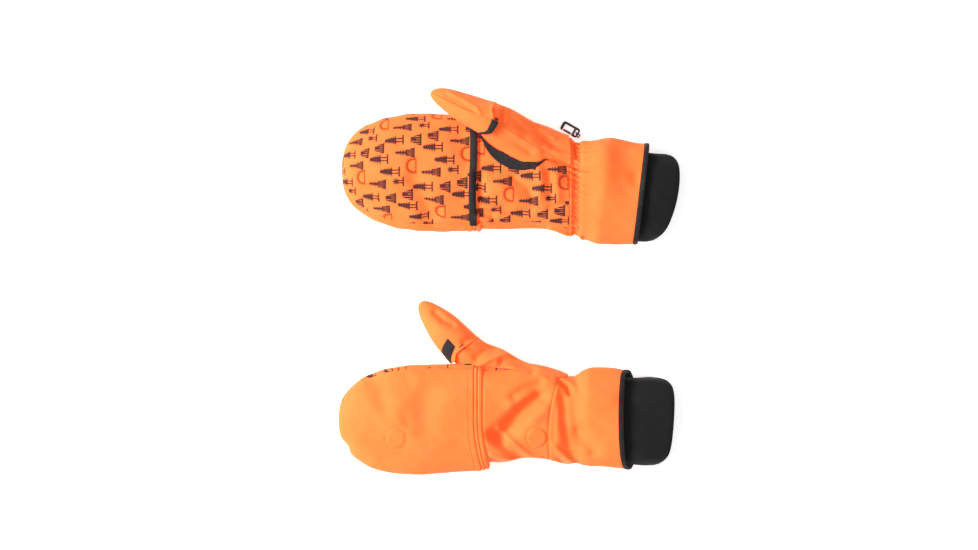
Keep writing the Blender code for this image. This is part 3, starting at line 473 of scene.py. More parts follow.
def shaft_point(m, t, angle, inset=0.0):
    """Thumb: t is 0 where its cloth meets the hand, 1 at the cap's mouth, more inside the cap."""
    t, angle = np.broadcast_arrays(np.asarray(t, float), np.asarray(angle, float))
    _, way, outer, _ = thumb_frame(m)
    root = root_curve(m, angle)
    start = hand_point(m, root[..., 0], root[..., 1])
    leaving = hand_point(m, root[..., 2], root[..., 3])
    at_mouth = np.zeros(angle.shape)
    end = thumb_ring(m, angle, at_mouth, at_mouth + MOUTH_HALF_WIDTH - inset,
                     at_mouth + MOUTH_HALF_HEIGHT - inset)
    span = np.linalg.norm(end - start, axis=-1, keepdims=True)
    normal = unit(np.cross(hand_point(m, root[..., 0] + SMALL_STEP, root[..., 1]) - start,
                           hand_point(m, root[..., 0], root[..., 1] + SMALL_STEP) - start))
    chord = end - start
    leave = unit(chord - normal * np.sum(chord * normal, axis=-1, keepdims=True)) * span * 0.9
    free = start + leave / 3.0
    first = free + (leaving - free) * root[..., 4:5]
    second = end - way * np.minimum(span, 46.0) / 3.0
    u = np.clip(t, 0.0, 1.0)[..., None]
    points = (start * (1 - u) ** 3 + first * 3 * u * (1 - u) ** 2
              + second * 3 * u ** 2 * (1 - u) + end * u ** 3)
    fullness = smooth_step((t - 0.35) / 0.4) * smooth_step((1.035 - t) / 0.06)
    side = np.maximum(np.cos(np.radians(angle)), 0.0)
    points = points + outer * (m.thumb_bulge * fullness * side)[..., None]
    points = clear_of_hand(m, points, LAP - inset)
    return points + way * (np.maximum(t - 1.0, 0.0) * SHAFT_RUN)[..., None]


# ---------------------------------------------------------------- creases

def bend_at_fold(m, x, y):
    """How far the seams at the hood's fold bow towards the cuff."""
    if m.palm_up:
        return 0.7 * np.sin(y / 14.0) * np.exp(-((x - 6.0) / 16.0) ** 2)
    low = np.clip((2.0 - y) / 44.0, 0.0, 1.2)
    return (1.6 + 6.5 * low ** 2) * np.exp(-((x - 8.0) / 26.0) ** 2)


def relief(m, x, y):
    """Height of the creases and dents on the side that faces up."""
    height = 0.6 * ripple(x, y, 11, (34.0, 60.0)) + 0.14 * ripple(x, y, 12, (9.0, 17.0))
    for rise, width, *path in m.creases:
        scale = m.ridge_height if rise > 0.0 else m.valley_depth
        height = height + scale * rise * np.exp(-(distance_to_path(x, y, path) / width) ** 2)
    if not m.palm_up:
        for centre_x in (-MAGNET[0], MAGNET[0]):
            away = np.hypot(x - centre_x - bend_at_fold(m, x, y), y - MAGNET[1])
            height = height * (1.0 - np.exp(-(away / CALM_ROUND_MAGNET) ** 4))
            disc = 1.0 - smooth_step((away - MAGNET_RADIUS + 0.2) / 1.1)
            ring = np.exp(-((away - MAGNET_RADIUS - 0.9) / 0.8) ** 2)
            height = height + 0.9 * disc - 0.6 * ring
    return height


def crease(m, points, share=1.0):
    """Points of any outer surface with a share of the creases put in, resting on the floor."""
    out = points.copy()
    x, y, z = np.moveaxis(points, -1, 0)
    upper = smooth_step((z - LOWER_SIDE) / 12.0)
    out[..., 0] = x + bend_at_fold(m, x, y)
    for shift_x, shift_y, reach, at_x, at_y in m.nudges:
        near = np.exp(-((x - at_x) ** 2 + (y - at_y) ** 2) / reach ** 2)
        out[..., 0] += shift_x * near
        out[..., 1] += shift_y * near
    out[..., 1] += (1.0 - np.abs(2.0 * upper - 1.0)) * 0.45 * ripple(x, z, 5, (16.0, 40.0))
    height = z + upper * share * relief(m, x, y)
    out[..., 2] = 0.5 * (height + np.sqrt(height ** 2 + FLOOR_SOFTNESS))
    return out


# ---------------------------------------------------------------- meshes

def normals_of(points, closed):
    """Unit normals of a grid of points."""
    if closed:
        ahead, behind = np.roll(points, -1, axis=1), np.roll(points, 1, axis=1)
        around = ahead - behind
    else:
        around = np.gradient(points, axis=1)
    return unit(np.cross(np.gradient(points, axis=0), around))


def sheet_mesh(name, points, wall, closed=False, hole=None, hint=None, flat=None):
    """Closed sheet of a wall's thickness under a grid of outer points in millimetres."""
    rows, columns = points.shape[:2]
    normal = normals_of(points, closed)
    away = points - points.mean(axis=1, keepdims=True) if hint is None else np.array(hint)
    outward = np.sum(normal * away) > 0.0
    if not outward:
        normal = -normal
    inner = points - normal * wall
    inner[..., 2] = np.maximum(inner[..., 2], LOWEST_INNER)
    index = np.arange(rows * columns).reshape(rows, columns)
    turned = np.roll(index, -1, axis=1) if closed else index[:, 1:]
    first = index if closed else index[:, :-1]
    quads = np.stack([first[:-1], turned[:-1], turned[1:], first[1:]], axis=-1).reshape(-1, 4)
    if hole is not None:
        quads = quads[~hole.reshape(-1)[quads].all(axis=1)]
    if outward:
        quads = quads[:, ::-1]
    count = rows * columns
    edges = np.concatenate([np.stack([quads[:, i], quads[:, (i + 1) % 4]], axis=1)
                            for i in range(4)])
    forward = edges[:, 0].astype(np.int64) * count + edges[:, 1]
    backward = edges[:, 1].astype(np.int64) * count + edges[:, 0]
    rim = edges[~np.isin(forward, backward)]
    sides = np.stack([rim[:, 1], rim[:, 0], rim[:, 0] + count, rim[:, 1] + count], axis=1)
    faces = np.concatenate([quads, quads[:, ::-1] + count, sides])
    used = np.unique(faces)
    renumber = np.zeros(2 * count, np.int64)
    renumber[used] = np.arange(len(used))
    vertices = np.concatenate([points.reshape(-1, 3), inner.reshape(-1, 3)])[used]
    mesh = bpy.data.meshes.new(name)
    mesh.from_pydata(vertices.tolist(), [], renumber[faces].tolist())
    if flat is not None:
        plane = np.concatenate([flat.reshape(-1, 2)] * 2)
        layer = mesh.uv_layers.new(name="Flat")
        layer.data.foreach_set("uv", plane[faces.reshape(-1)].reshape(-1))
    return mesh


def tube_mesh(name, path, radius, sides=6, closed=False):
    """Round thread or cord along a path, with rounded-off ends unless it is closed."""
    path = np.array(path, float)
    if closed:
        way = unit(np.roll(path, -1, axis=0) - np.roll(path, 1, axis=0))
    else:
        way = unit(np.gradient(path, axis=0))
    side = np.zeros_like(path)
    side[0] = unit(np.cross(way[0], (0.1, 0.2, 1.0)))
    for i in range(1, len(path)):
        side[i] = unit(side[i - 1] - way[i] * np.dot(side[i - 1], way[i]))
    over = np.cross(way, side)
    turn = np.arange(sides) * math.tau / sides
    turn = turn[None, :, None]
    ring = side[:, None] * np.cos(turn) + over[:, None] * np.sin(turn)
    radii = np.full(len(path), radius)
    if not closed:
        radii[0] = radii[-1] = radius * THREAD_END
    points = path[:, None] + ring * radii[:, None, None]
    index = np.arange(len(path) * sides).reshape(len(path), sides)
    follow = np.roll(index, -1, axis=0) if closed else index[1:]
    start = index if closed else index[:-1]
    quads = np.stack([start, np.roll(start, -1, axis=1), np.roll(follow, -1, axis=1), follow],
                     axis=-1).reshape(-1, 4)
    faces = quads.tolist()
    if not closed:
        faces += [index[0][::-1].tolist(), index[-1].tolist()]
    mesh = bpy.data.meshes.new(name)
    mesh.from_pydata(points.reshape(-1, 3).tolist(), [], faces)
    return mesh


def joined(name, meshes):
    """One mesh of several."""
    bm = bmesh.new()
    for mesh in meshes:
        bm.from_mesh(mesh)
        bpy.data.meshes.remove(mesh)
    whole = bpy.data.meshes.new(name)
    bm.to_mesh(whole)
    bm.free()
    return whole


# ---------------------------------------------------------------- materials

class Nodes:
    """Short ways to add nodes to a material."""

    def __init__(self, name):
        self.material = bpy.data.materials.new(name)
        self.material.use_nodes = True
        self.tree = self.material.node_tree
        self.shader = self.tree.nodes["Principled BSDF"]

    def link(self, value, socket):
        """Link a socket to another, or set a plain value on it."""
        if isinstance(value, bpy.types.NodeSocket):
            self.tree.links.new(value, socket)
        elif value is not None:
            socket.default_value = value

    def math(self, operation, a, b=None, clamp=False):
        """Math node."""
        node = self.tree.nodes.new("ShaderNodeMath")
        node.operation = operation
        node.use_clamp = clamp
        self.link(a, node.inputs[0])
        self.link(b, node.inputs[1])
        return node.outputs[0]

    def noise(self, scale, detail=2.0, stretch=None):
        """Noise on the piece's own coordinates, in waves to a metre."""
        coordinates = self.tree.nodes.new("ShaderNodeTexCoord").outputs["Object"]
        if stretch:
            mapping = self.tree.nodes.new("ShaderNodeMapping")
            mapping.inputs["Scale"].default_value = stretch
            self.link(coordinates, mapping.inputs["Vector"])
            coordinates = mapping.outputs[0]
        node = self.tree.nodes.new("ShaderNodeTexNoise")
        node.inputs["Scale"].default_value = scale
        node.inputs["Detail"].default_value = detail
        self.link(coordinates, node.inputs["Vector"])
        return node.outputs["Fac"]

    def mix(self, share, a, b):
        """Mix of two colours."""
        node = self.tree.nodes.new("ShaderNodeMix")
        node.data_type = "RGBA"
        self.link(share, node.inputs["Factor"])
        self.link(a, node.inputs["A"])
        self.link(b, node.inputs["B"])
        return node.outputs["Result"]

    def band(self, value, low, high):
        """A value's place between two limits, from 0 to 1."""
        node = self.tree.nodes.new("ShaderNodeMapRange")
        self.link(value, node.inputs["Value"])
        node.inputs["From Min"].default_value = low
        node.inputs["From Max"].default_value = high
        return node.outputs["Result"]

    def bump(self, height, distance, strength=0.5, before=None):
        """Bump, on top of an earlier one."""
        node = self.tree.nodes.new("ShaderNodeBump")
        node.inputs["Distance"].default_value = distance
        node.inputs["Strength"].default_value = strength
        self.link(height, node.inputs["Height"])
        self.link(before, node.inputs["Normal"])
        return node.outputs["Normal"]

    def highest(self, first, *others):
        """Highest of several values."""
        for other in others:
            first = self.math("MAXIMUM", first, other)
        return first

    def flat(self):
        """x and y on the flat cloth, in millimetres."""
        plane = self.tree.nodes.new("ShaderNodeUVMap")
        plane.uv_map = "Flat"
        parts = self.tree.nodes.new("ShaderNodeSeparateXYZ")
        self.link(plane.outputs[0], parts.inputs[0])
        return parts.outputs[0], parts.outputs[1]

    def set(self, **inputs):
        """Inputs of the Principled shader, with _ for a space in their names."""
        for name, value in inputs.items():
            self.link(value, self.shader.inputs[name.replace("_", " ")])
        return self.material


def rgb(red, green, blue):
    """Colour with full alpha."""
    return (red, green, blue, 1.0)


ORANGE = rgb(0.94, 0.205, 0.050)
ORANGE_DEEP = rgb(0.94, 0.175, 0.036)
ORANGE_PALE = rgb(0.95, 0.26, 0.085)
# Painted glow, for the dye's fluorescence: the fleece gives off red light that keeps its shade red.
PAINTED_GLOW_COLOUR = rgb(1.0, 0.06, 0.005)
INK = rgb(0.026, 0.016, 0.020)
SUN_INK = rgb(0.27, 0.038, 0.010)
# Strengths of that painted glow on the fleece and on the lining.
FLEECE_PAINTED_GLOW = 0.35
LINING_PAINTED_GLOW = 0.12


def fleece(nodes, colour, painted_glow=FLEECE_PAINTED_GLOW):
    """Brushed fleece: matted fibres, soft sheen, and a painted glow that keeps its shade red."""
    fibres = nodes.noise(2600.0, 3.0, (1.0, 2.2, 1.0))
    tufts = nodes.noise(700.0, 2.0)
    patches = nodes.noise(38.0, 2.0)
    colour = nodes.mix(nodes.band(patches, 0.35, 0.7), colour, ORANGE_DEEP)
    colour = nodes.mix(nodes.math("MULTIPLY", nodes.band(fibres, 0.5, 0.8), 0.35), colour,
                       ORANGE_PALE)
    normal = nodes.bump(tufts, 0.0003, 0.35)
    normal = nodes.bump(fibres, 0.00012, 0.5, normal)
    rough = nodes.math("ADD", nodes.math("MULTIPLY", tufts, 0.15), 0.80)
    nodes.set(Base_Color=colour, Roughness=rough, Normal=normal, Sheen_Weight=0.25,
              Sheen_Roughness=0.45, Sheen_Tint=rgb(1.0, 0.62, 0.42), Specular_IOR_Level=0.15,
              Emission_Color=PAINTED_GLOW_COLOUR, Emission_Strength=painted_glow)
    return colour


def fleece_material(name, colour, painted_glow):
    """Plain fleece."""
    nodes = Nodes(name)
    fleece(nodes, colour, painted_glow)
    return nodes.material


# The print repeats on a slanted lattice. One cell holds a sun and eight trees.
CELL_A = (50.1, 11.0)
CELL_B = (26.7, -43.2)
PINES = ((-19.3, -5.5), (11.0, -19.3), (46.9, -26.2))
NARROW_PINES = ((18.4, -6.0), (21.2, -31.3))
SAPLINGS = ((38.6, -3.7),)
GROVES = ((31.3, -19.3), (46.9, -15.6))
SUN_POWER = 2.6


class Motif:
    """One motif of the print, in its own coordinates: u from its top, v across, millimetres."""

    def __init__(self, nodes, flat_x, flat_y, place, half_length):
        self.n = nodes
        det = CELL_A[0] * CELL_B[1] - CELL_A[1] * CELL_B[0]
        x = nodes.math("SUBTRACT", flat_x, place[0])
        y = nodes.math("SUBTRACT", flat_y, place[1])
        i = self.centred(self.weighted(x, y, CELL_B[1] / det, -CELL_B[0] / det))
        j = self.centred(self.weighted(x, y, -CELL_A[1] / det, CELL_A[0] / det))
        self.u = nodes.math("ADD", self.weighted(i, j, CELL_A[0], CELL_B[0]), half_length)
        self.v = self.weighted(i, j, CELL_A[1], CELL_B[1])
        self.side = nodes.math("ABSOLUTE", self.v)

    def weighted(self, x, y, a, b):
        """a x + b y."""
        n = self.n
        return n.math("ADD", n.math("MULTIPLY", x, a), n.math("MULTIPLY", y, b))

    def centred(self, value):
        """Fraction of a cell, from -0.5 to 0.5."""
        n = self.n
        return n.math("SUBTRACT", n.math("FRACT", n.math("ADD", value, 0.5)), 0.5)

    def under(self, value, limit, soft=0.45):
        """1 where the value is under the limit, with a soft edge."""
        n = self.n
        room = n.math("SUBTRACT", limit, value)
        return n.math("ADD", n.math("DIVIDE", room, soft), 0.9, clamp=True)

    def between(self, value, low, high):
        """1 where the value is between two limits."""
        middle, half = (low + high) / 2.0, (high - low) / 2.0
        away = self.n.math("ABSOLUTE", self.n.math("SUBTRACT", value, middle))
        return self.under(away, half)

    def tiers(self, start, end, pitch, width, spread, cut):
        """Stacked boughs from start to end, widening downwards."""
        n = self.n
        saw = n.math("FRACT", n.math("DIVIDE", n.math("SUBTRACT", self.u, start), pitch))
        reach = n.math("ADD", n.math("MULTIPLY", n.math("SUBTRACT", self.u, start), spread), width)
        shape = n.math("ADD", n.math("MULTIPLY", saw, 1.0 - cut), cut)
        bough = self.under(self.side, n.math("MULTIPLY", reach, shape))
        return n.math("MULTIPLY", bough, self.between(self.u, start, end))

    def block(self, start, end, half_width):
        """Solid block across the motif."""
        return self.n.math("MULTIPLY", self.between(self.u, start, end),
                           self.under(self.side, half_width))

    def stripes(self, mask, pitch, share):
        """The mask broken up by thin stripes along the motif."""
        n = self.n
        wave = n.math("FRACT", n.math("DIVIDE", n.math("ADD", self.v, 100.0), pitch))
        return n.math("MULTIPLY", mask, self.under(wave, share, 0.25))


def pine(nodes, x, y, place):
    """Broad pine on two trunk lines over a strip of ground."""
    m = Motif(nodes, x, y, place, 9.2)
    trunks = nodes.math("MULTIPLY", m.between(m.side, 0.9, 1.9), m.between(m.u, 10.0, 17.6))
    return nodes.highest(m.tiers(0.0, 11.2, 2.25, 2.0, 0.27, 0.42), trunks,
                         m.block(17.0, 18.2, 4.4), m.block(1.0, 11.0, 1.1))


def narrow_pine(nodes, x, y, place):
    """Slim pine growing from a stack of undergrowth."""
    m = Motif(nodes, x, y, place, 8.9)
    return nodes.highest(m.tiers(0.0, 10.4, 2.6, 1.7, 0.18, 0.12), m.block(0.0, 11.0, 0.7),
                         m.stripes(m.block(10.6, 13.6, 3.0), 1.5, 0.78),
                         m.stripes(m.block(13.9, 16.6, 4.1), 1.6, 0.82),
                         m.block(16.4, 17.6, 4.4))


def grove(nodes, x, y, place):
    """Three small firs drawn with stripes."""
    m = Motif(nodes, x, y, place, 4.9)
    reach = nodes.math("ADD", nodes.math("MULTIPLY", m.u, 0.36), 2.2)
    wedge = nodes.math("MULTIPLY", m.under(m.side, reach), m.between(m.u, 0.0, 9.6))
    return nodes.highest(m.stripes(wedge, 2.1, 0.72), m.block(8.4, 9.8, 5.2),
                         m.block(0.3, 5.0, 1.0))


def sapling(nodes, x, y, place):
    """Small round-headed tree over a strip of ground."""
    m = Motif(nodes, x, y, place, 5.2)
    away = nodes.math("SUBTRACT", m.u, 2.8)
    ring = nodes.math("SQRT", nodes.math("ADD", nodes.math("POWER", m.side, 2.0),
                                         nodes.math("MULTIPLY", away, away)))
    turn = nodes.math("ARCTAN2", m.v, away)
    rays = nodes.math("MULTIPLY", nodes.math("SINE", nodes.math("MULTIPLY", turn, 7.0)), 0.9)
    trunks = nodes.math("MULTIPLY", m.between(m.side, 0.6, 1.5), m.between(m.u, 4.0, 9.4))
    return nodes.highest(m.under(ring, nodes.math("ADD", rays, 2.3)), trunks,
                         m.block(9.0, 10.1, 4.2))


def sun(nodes, x, y):
    """Rising sun: the outline of a half disc with a few short rays."""
    m = Motif(nodes, x, y, (0.0, 0.0), -4.6)
    wide = nodes.math("DIVIDE", m.u, 9.4)
    tall = nodes.math("DIVIDE", m.v, 7.0)
    wide = nodes.math("POWER", nodes.math("ABSOLUTE", wide), SUN_POWER)
    tall = nodes.math("POWER", nodes.math("ABSOLUTE", tall), SUN_POWER)
    ring = nodes.math("POWER", nodes.math("ADD", wide, tall), 1.0 / SUN_POWER)
    radius = nodes.math("MULTIPLY", ring, 8.0)
    left = m.between(m.u, -12.0, 0.4)
    turn = nodes.math("MULTIPLY", nodes.math("ARCTAN2", m.v, m.u), 3.2)
    rays = m.under(nodes.math("FRACT", turn), 0.35, 0.3)
    rays = nodes.math("MULTIPLY", m.between(radius, 8.2, 9.2), rays)
    shape = nodes.highest(m.between(radius, 6.1, 7.9), nodes.math("MULTIPLY", rays, 0.6),
                          m.block(-0.7, 0.4, 6.6))
    return nodes.math("MULTIPLY", left, shape)


def printed_material(name, phase):
    """Orange fleece with a dark print of pines, groves and half suns."""
    nodes = Nodes(name)
    orange = fleece(nodes, ORANGE)
    flat_x, flat_y = nodes.flat()
    wobble = nodes.math("SUBTRACT", nodes.noise(900.0, 1.0), 0.5)
    x = nodes.math("ADD", nodes.math("SUBTRACT", flat_x, phase[0]), wobble)
    y = nodes.math("ADD", nodes.math("SUBTRACT", flat_y, phase[1]), wobble)
    masks = [pine(nodes, x, y, place) for place in PINES]
    masks += [narrow_pine(nodes, x, y, place) for place in NARROW_PINES]
    masks += [grove(nodes, x, y, place) for place in GROVES]
    masks += [sapling(nodes, x, y, place) for place in SAPLINGS]
    worn = nodes.band(nodes.noise(1500.0, 2.0), 0.12, 0.36)
    ink = nodes.math("MULTIPLY", nodes.highest(*masks), nodes.math("MULTIPLY", worn, 0.96))
    warm = nodes.math("MULTIPLY", sun(nodes, x, y), 0.95)
    coloured = nodes.mix(ink, nodes.mix(warm, orange, SUN_INK), INK)
    # Painted glow of the fleece, taken off where the ink is.
    painted_glow = nodes.math("SUBTRACT", FLEECE_PAINTED_GLOW, nodes.math("MULTIPLY", ink, FLEECE_PAINTED_GLOW))
    return nodes.set(Base_Color=coloured, Emission_Strength=painted_glow)


def tape_material():
    """Black woven tape with a fine rib."""
    nodes = Nodes("woven tape")
    rib = nodes.noise(1500.0, 1.0, (0.25, 3.0, 1.0))
    dust = nodes.noise(420.0, 3.0)
    colour = nodes.mix(nodes.band(dust, 0.35, 0.8), rgb(0.011, 0.009, 0.010),
                       rgb(0.024, 0.020, 0.021))
    normal = nodes.bump(rib, 0.0002, 0.5)
    return nodes.set(Base_Color=colour, Roughness=0.72, Normal=normal, Sheen_Weight=0.05,
                     Specular_IOR_Level=0.25)


RIB_PITCH = 1.8
LOOP_PITCH = 1.2


def knit_material():
    """Black knit with fine ribs along the arm."""
    nodes = Nodes("ribbed knit")
    along_arm, round_arm = nodes.flat()
    rib = nodes.math("SINE", nodes.math("MULTIPLY", round_arm, math.tau / RIB_PITCH))
    loops = nodes.math("SINE", nodes.math("MULTIPLY", along_arm, math.tau / LOOP_PITCH))
    yarn = nodes.math("MULTIPLY", nodes.math("ADD", rib, nodes.math("MULTIPLY", loops, 0.35)), 0.5)
    fuzz = nodes.noise(1400.0, 3.0)
    colour = nodes.mix(nodes.band(fuzz, 0.3, 0.8), rgb(0.006, 0.006, 0.006),
                       rgb(0.015, 0.015, 0.015))
    normal = nodes.bump(yarn, 0.0002, 0.25)
    normal = nodes.bump(fuzz, 0.0001, 0.4, normal)
    return nodes.set(Base_Color=colour, Roughness=0.85, Normal=normal, Sheen_Weight=0.06,
                     Sheen_Roughness=0.5, Specular_IOR_Level=0.2)


def elastic_material():
    """White woven elastic."""
    nodes = Nodes("woven elastic")
    rib = nodes.noise(1100.0, 1.0, (3.0, 0.3, 1.0))
    colour = nodes.mix(rib, rgb(0.62, 0.61, 0.58), rgb(0.85, 0.84, 0.81))
    return nodes.set(Base_Color=colour, Roughness=0.7, Normal=nodes.bump(rib, 0.0003, 0.6))


def thread_material(name, light, dark):
    """Sewing thread."""
    nodes = Nodes(name)
    twist = nodes.noise(2400.0, 1.0)
    colour = nodes.mix(twist, light, dark)
    return nodes.set(Base_Color=colour, Roughness=0.6, Normal=nodes.bump(twist, 0.0001, 0.5))


def plastic_material(name, colour, edge, rough):
    """Moulded plastic with a fine grain and paler worn spots."""
    nodes = Nodes(name)
    grain = nodes.noise(3200.0, 2.0)
    scuffs = nodes.band(nodes.noise(520.0, 4.0), 0.58, 0.8)
    colour = nodes.mix(scuffs, colour, edge)
    roughness = nodes.math("ADD", nodes.math("MULTIPLY", grain, 0.12), rough)
    return nodes.set(Base_Color=colour, Roughness=roughness, Normal=nodes.bump(grain, 0.00005, 0.4))


def magnet_material():
    """Nickel-plated magnet with a fine brushed face."""
    nodes = Nodes("plated magnet")
    brushed = nodes.noise(2200.0, 2.0, (0.1, 1.0, 1.0))
    rough = nodes.math("ADD", nodes.math("MULTIPLY", brushed, 0.2), 0.22)
    return nodes.set(Base_Color=rgb(0.60, 0.60, 0.61), Metallic=1.0, Roughness=rough)


def floor_material():
    """Plain white light table."""
    nodes = Nodes("floor")
    tone = nodes.mix(nodes.noise(3.0, 1.0), rgb(0.93, 0.93, 0.93), rgb(0.95, 0.95, 0.95))
    return nodes.set(Base_Color=tone, Roughness=0.9, Specular_IOR_Level=0.1,
                     Emission_Color=rgb(1.0, 1.0, 1.0), Emission_Strength=0.62)


# ---------------------------------------------------------------- pieces

class Maker:
    """Makes the pieces of one mitten and attaches them to its bodies."""

    def __init__(self, m, place, finishes):
        self.m = m
        self.place = np.array([*place, 0.0])
        self.finishes = finishes

    def add(self, part, mesh, slot, body="mitten", nodes=None, finish=None, bend=None):
        """Piece of this mitten, from a mesh in its own millimetres.

        With a bend it is attached to no body and stays where it lies; the bend's two points are not
        used.
        """
        name = f"{self.m.side}_{part}"
        count = len(mesh.vertices)
        points = np.empty(count * 3)
        mesh.vertices.foreach_get("co", points)
        points = (points.reshape(-1, 3) + self.place) * MM
        mesh.vertices.foreach_set("co", points.reshape(-1))
        mesh.update()
        mesh.shade_smooth()
        mesh.set_sharp_from_angle(angle=math.radians(SHARP_DEGREES))
        mesh.materials.append(self.finishes[finish or slot])
        piece = bpy.data.objects.new(name + "_cloth", mesh)
        bpy.context.scene.collection.objects.link(piece)
        body = f"{self.m.side}_{body}"
        if bend is None:
            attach(piece, body)
        else:
            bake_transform(piece)
        nodes = (part,) if nodes is None else nodes
        if nodes:
            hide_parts(*[f"{self.m.side}_{node}" for node in nodes])
        return piece

    def cloth(self, part, points, wall, slot, cut, held, rests_on, body="mitten", nodes=None,
              finish=None, bend=None, **mesh):
        """Sheet of cloth under a grid of points.

        Its cut, given as its flat width and length in millimetres and, where it isn't a rectangle,
        its share of that area, is not used.
        """
        piece = self.add(part, sheet_mesh(part, points, wall, **mesh), slot, body, nodes, finish,
                         bend)


def seam_dip(angles, span, depth=SEAM_DEPTH, width=SEAM_DEGREES):
    """How far a panel's cloth turns in at its two side seams."""
    near = np.minimum(angles - span[0], span[1] - angles)
    return depth * np.exp(-(near / width) ** 2)


def lie_flat(m, points, centre, level):
    """Flat cloth coordinates: seen from above, plus what turns down past the rim."""
    x, y, z = np.moveaxis(points, -1, 0)
    ahead = np.minimum(x - TIP_CENTRE_X, 0.0)
    across = y - centre
    size = np.maximum(np.hypot(ahead, across), 1e-6)
    below = level - z if m.palm_up else z - (TURNED_HEIGHT - level)
    drop = RIM_STRETCH * np.maximum(below - RIM_ROUND, 0.0)
    return np.stack([x + ahead / size * drop, y + across / size * drop], axis=-1)


def hood_stations(end_x, rounding=64, straight=30):
    """Stations from the hood's tip to an x past its fold."""
    early = -np.cos(np.radians(np.linspace(0.25, 90.0, rounding)))
    return np.concatenate([early, np.linspace(0.0, HOOD_PARALLEL + end_x, straight)[1:]])[:, None]


def panel_angles(m, back):
    """Span in degrees of the palm piece or of the back piece, and angles across it."""
    start = 180.0 - m.seam_turn if back else -m.seam_turn
    span = (start, start + 180.0)
    return span, spaced_angles(*span, 110)


def lining_angles(m, count):
    """Angles all the way round, from the thumb-side seam."""
    return spaced_angles(-m.seam_turn, 360.0 - m.seam_turn, count + 1)[:-1]


def make_hood(maker):
    """Hood: printed palm, plain back, bound mouth and lining."""
    m = maker.m
    size = m.hood_length + 8.0
    for back, part, end_x in ((True, "hood_back_panel", -0.3), (False, "hood_palm_panel", 5.0)):
        span, angles = panel_angles(m, back)
        points = crease(m, hood_point(m, hood_stations(end_x), angles, seam_dip(angles, span)))
        maker.cloth(part, points, CLOTH, "orange_fleece" if back else "printed_fleece",
                    (132.0, size, 0.86), "stretched", "hood_lining", "hood",
                    finish=None if back else f"{m.side}_hood_print",
                    flat=lie_flat(m, points, 0.0, HOOD_LEVEL))
    first = 2.0 if m.palm_up else -13.0
    angles = spaced_angles(first, 180.0 - m.seam_turn, 100)
    stations = HOOD_PARALLEL + np.linspace(2.6, 9.4, 9)[:, None]
    if not m.palm_up:
        stations = stations - 6.0 * np.exp(-((angles - first) / 16.0) ** 2)
    inset = -0.2 - 0.7 * np.sin(np.linspace(0.0, math.pi, 9)[:, None]) ** 0.5
    points = crease(m, hood_point(m, stations, angles, inset))
    maker.cloth("hood_binding", points, CLOTH + 1.0, "black_binding", (16.0, 118.0, 0.5),
                "folded", "hood_palm_panel", "hood")
    stations, angles = hood_stations(-2.0, 40, 18), lining_angles(m, 160)
    points = crease(m, hood_point(m, stations, angles, LINING_INSET))
    maker.cloth("hood_lining", points, LINING, "orange_lining", (250.0, m.hood_length, 0.86),
                "stretched", "hood_palm_panel", "hood", closed=True)


def inside_root(m, x, angle, shrink=0.86):
    """True for the hand's grid points inside the curve where the thumb's cloth meets it."""
    curve = root_curve(m, np.linspace(0.0, 360.0, 120, endpoint=False))[:, :2]
    middle = curve.mean(axis=0)
    curve = middle + (curve - middle) * shrink
    x, angle = np.broadcast_arrays(x, (angle + 180.0) % 360.0 - 180.0)
    inside = np.zeros(x.shape, bool)
    for (ax, ay), (bx, by) in zip(curve, np.roll(curve, -1, axis=0)):
        crosses = (ay > angle) != (by > angle)
        inside ^= crosses & (x < (bx - ax) * (angle - ay) / (by - ay + 1e-9) + ax)
    return inside


def wrist_seam(m, angle):
    """x where the back's cloth ends and the gauntlet begins."""
    if m.palm_up:
        return np.full(angle.shape, WRIST_X)
    away = np.abs(angle % 360.0 - 250.0)
    y = hand_point(m, np.full(angle.shape, 78.0), angle)[..., 1]
    seam = 75.2 + 0.0031 * (y + 15.0) ** 2
    return seam + (WRIST_X - seam) * smooth_step((away - 88.0) / 8.0)


def make_seam_strip(maker):
    """Double-sewn strip where the hood joins the hand, with a groove at each line of stitches."""
    m = maker.m
    span, angles = panel_angles(m, True)
    past = np.concatenate([[-1.4, -0.4], np.linspace(0.4, 12.2, 44), [13.0, 14.0]])[:, None]
    inset = 2.2 * smooth_step((0.9 - past) / 2.0) + 2.2 * smooth_step((past - 11.7) / 2.0) - 0.3
    for line, depth in ((5.2, 1.3), (8.6, 1.1)):
        inset = inset + depth * np.exp(-((past - line) / 0.55) ** 2)
    points = hood_point(m, past + HOOD_PARALLEL, angles, inset + seam_dip(angles, span))
    maker.cloth("hood_seam_strip", crease(m, points), CLOTH, "orange_fleece",
                (22.0, 130.0, 0.9), "folded", "back_panel")


def make_hand(maker):
    """Hand: back, printed palm and lining, open where the thumb joins them."""
    m = maker.m
    span, angles = panel_angles(m, True)
    seam = wrist_seam(m, angles)
    x = BACK_X + (seam - BACK_X) * np.linspace(0.0, 1.0, 70)[:, None]
    inset = SEAM_DEPTH * np.exp(-((seam - x) / 0.9) ** 2) + seam_dip(angles, span)
    maker.cloth("back_panel", crease(m, hand_point(m, x, angles, inset)), CLOTH, "orange_fleece",
                (125.0, 84.0, 0.75), "gathered", "hand_lining", hole=inside_root(m, x, angles))
    span, angles = panel_angles(m, False)
    x = np.linspace(-0.5, 94.0, 90)[:, None]
    points = crease(m, hand_point(m, x, angles, seam_dip(angles, span)))
    centre = through_rows(m.hand, np.maximum(points[..., 0], -2.0))[..., 0]
    maker.cloth("palm_panel", points, CLOTH, "printed_fleece", (128.0, 97.0, 0.75), "gathered",
                "hand_lining", finish=f"{m.side}_palm_print", hole=inside_root(m, x, angles),
                flat=lie_flat(m, points, centre, PALM_LEVEL))
    x, angles = np.linspace(3.0, 93.5, 50)[:, None], lining_angles(m, 140)
    points = crease(m, hand_point(m, x, angles, LINING_INSET))
    maker.cloth("hand_lining", points, LINING, "orange_lining", (245.0, 92.0, 0.8), "gathered",
                "palm_panel", closed=True, hole=inside_root(m, x, angles, 0.82))


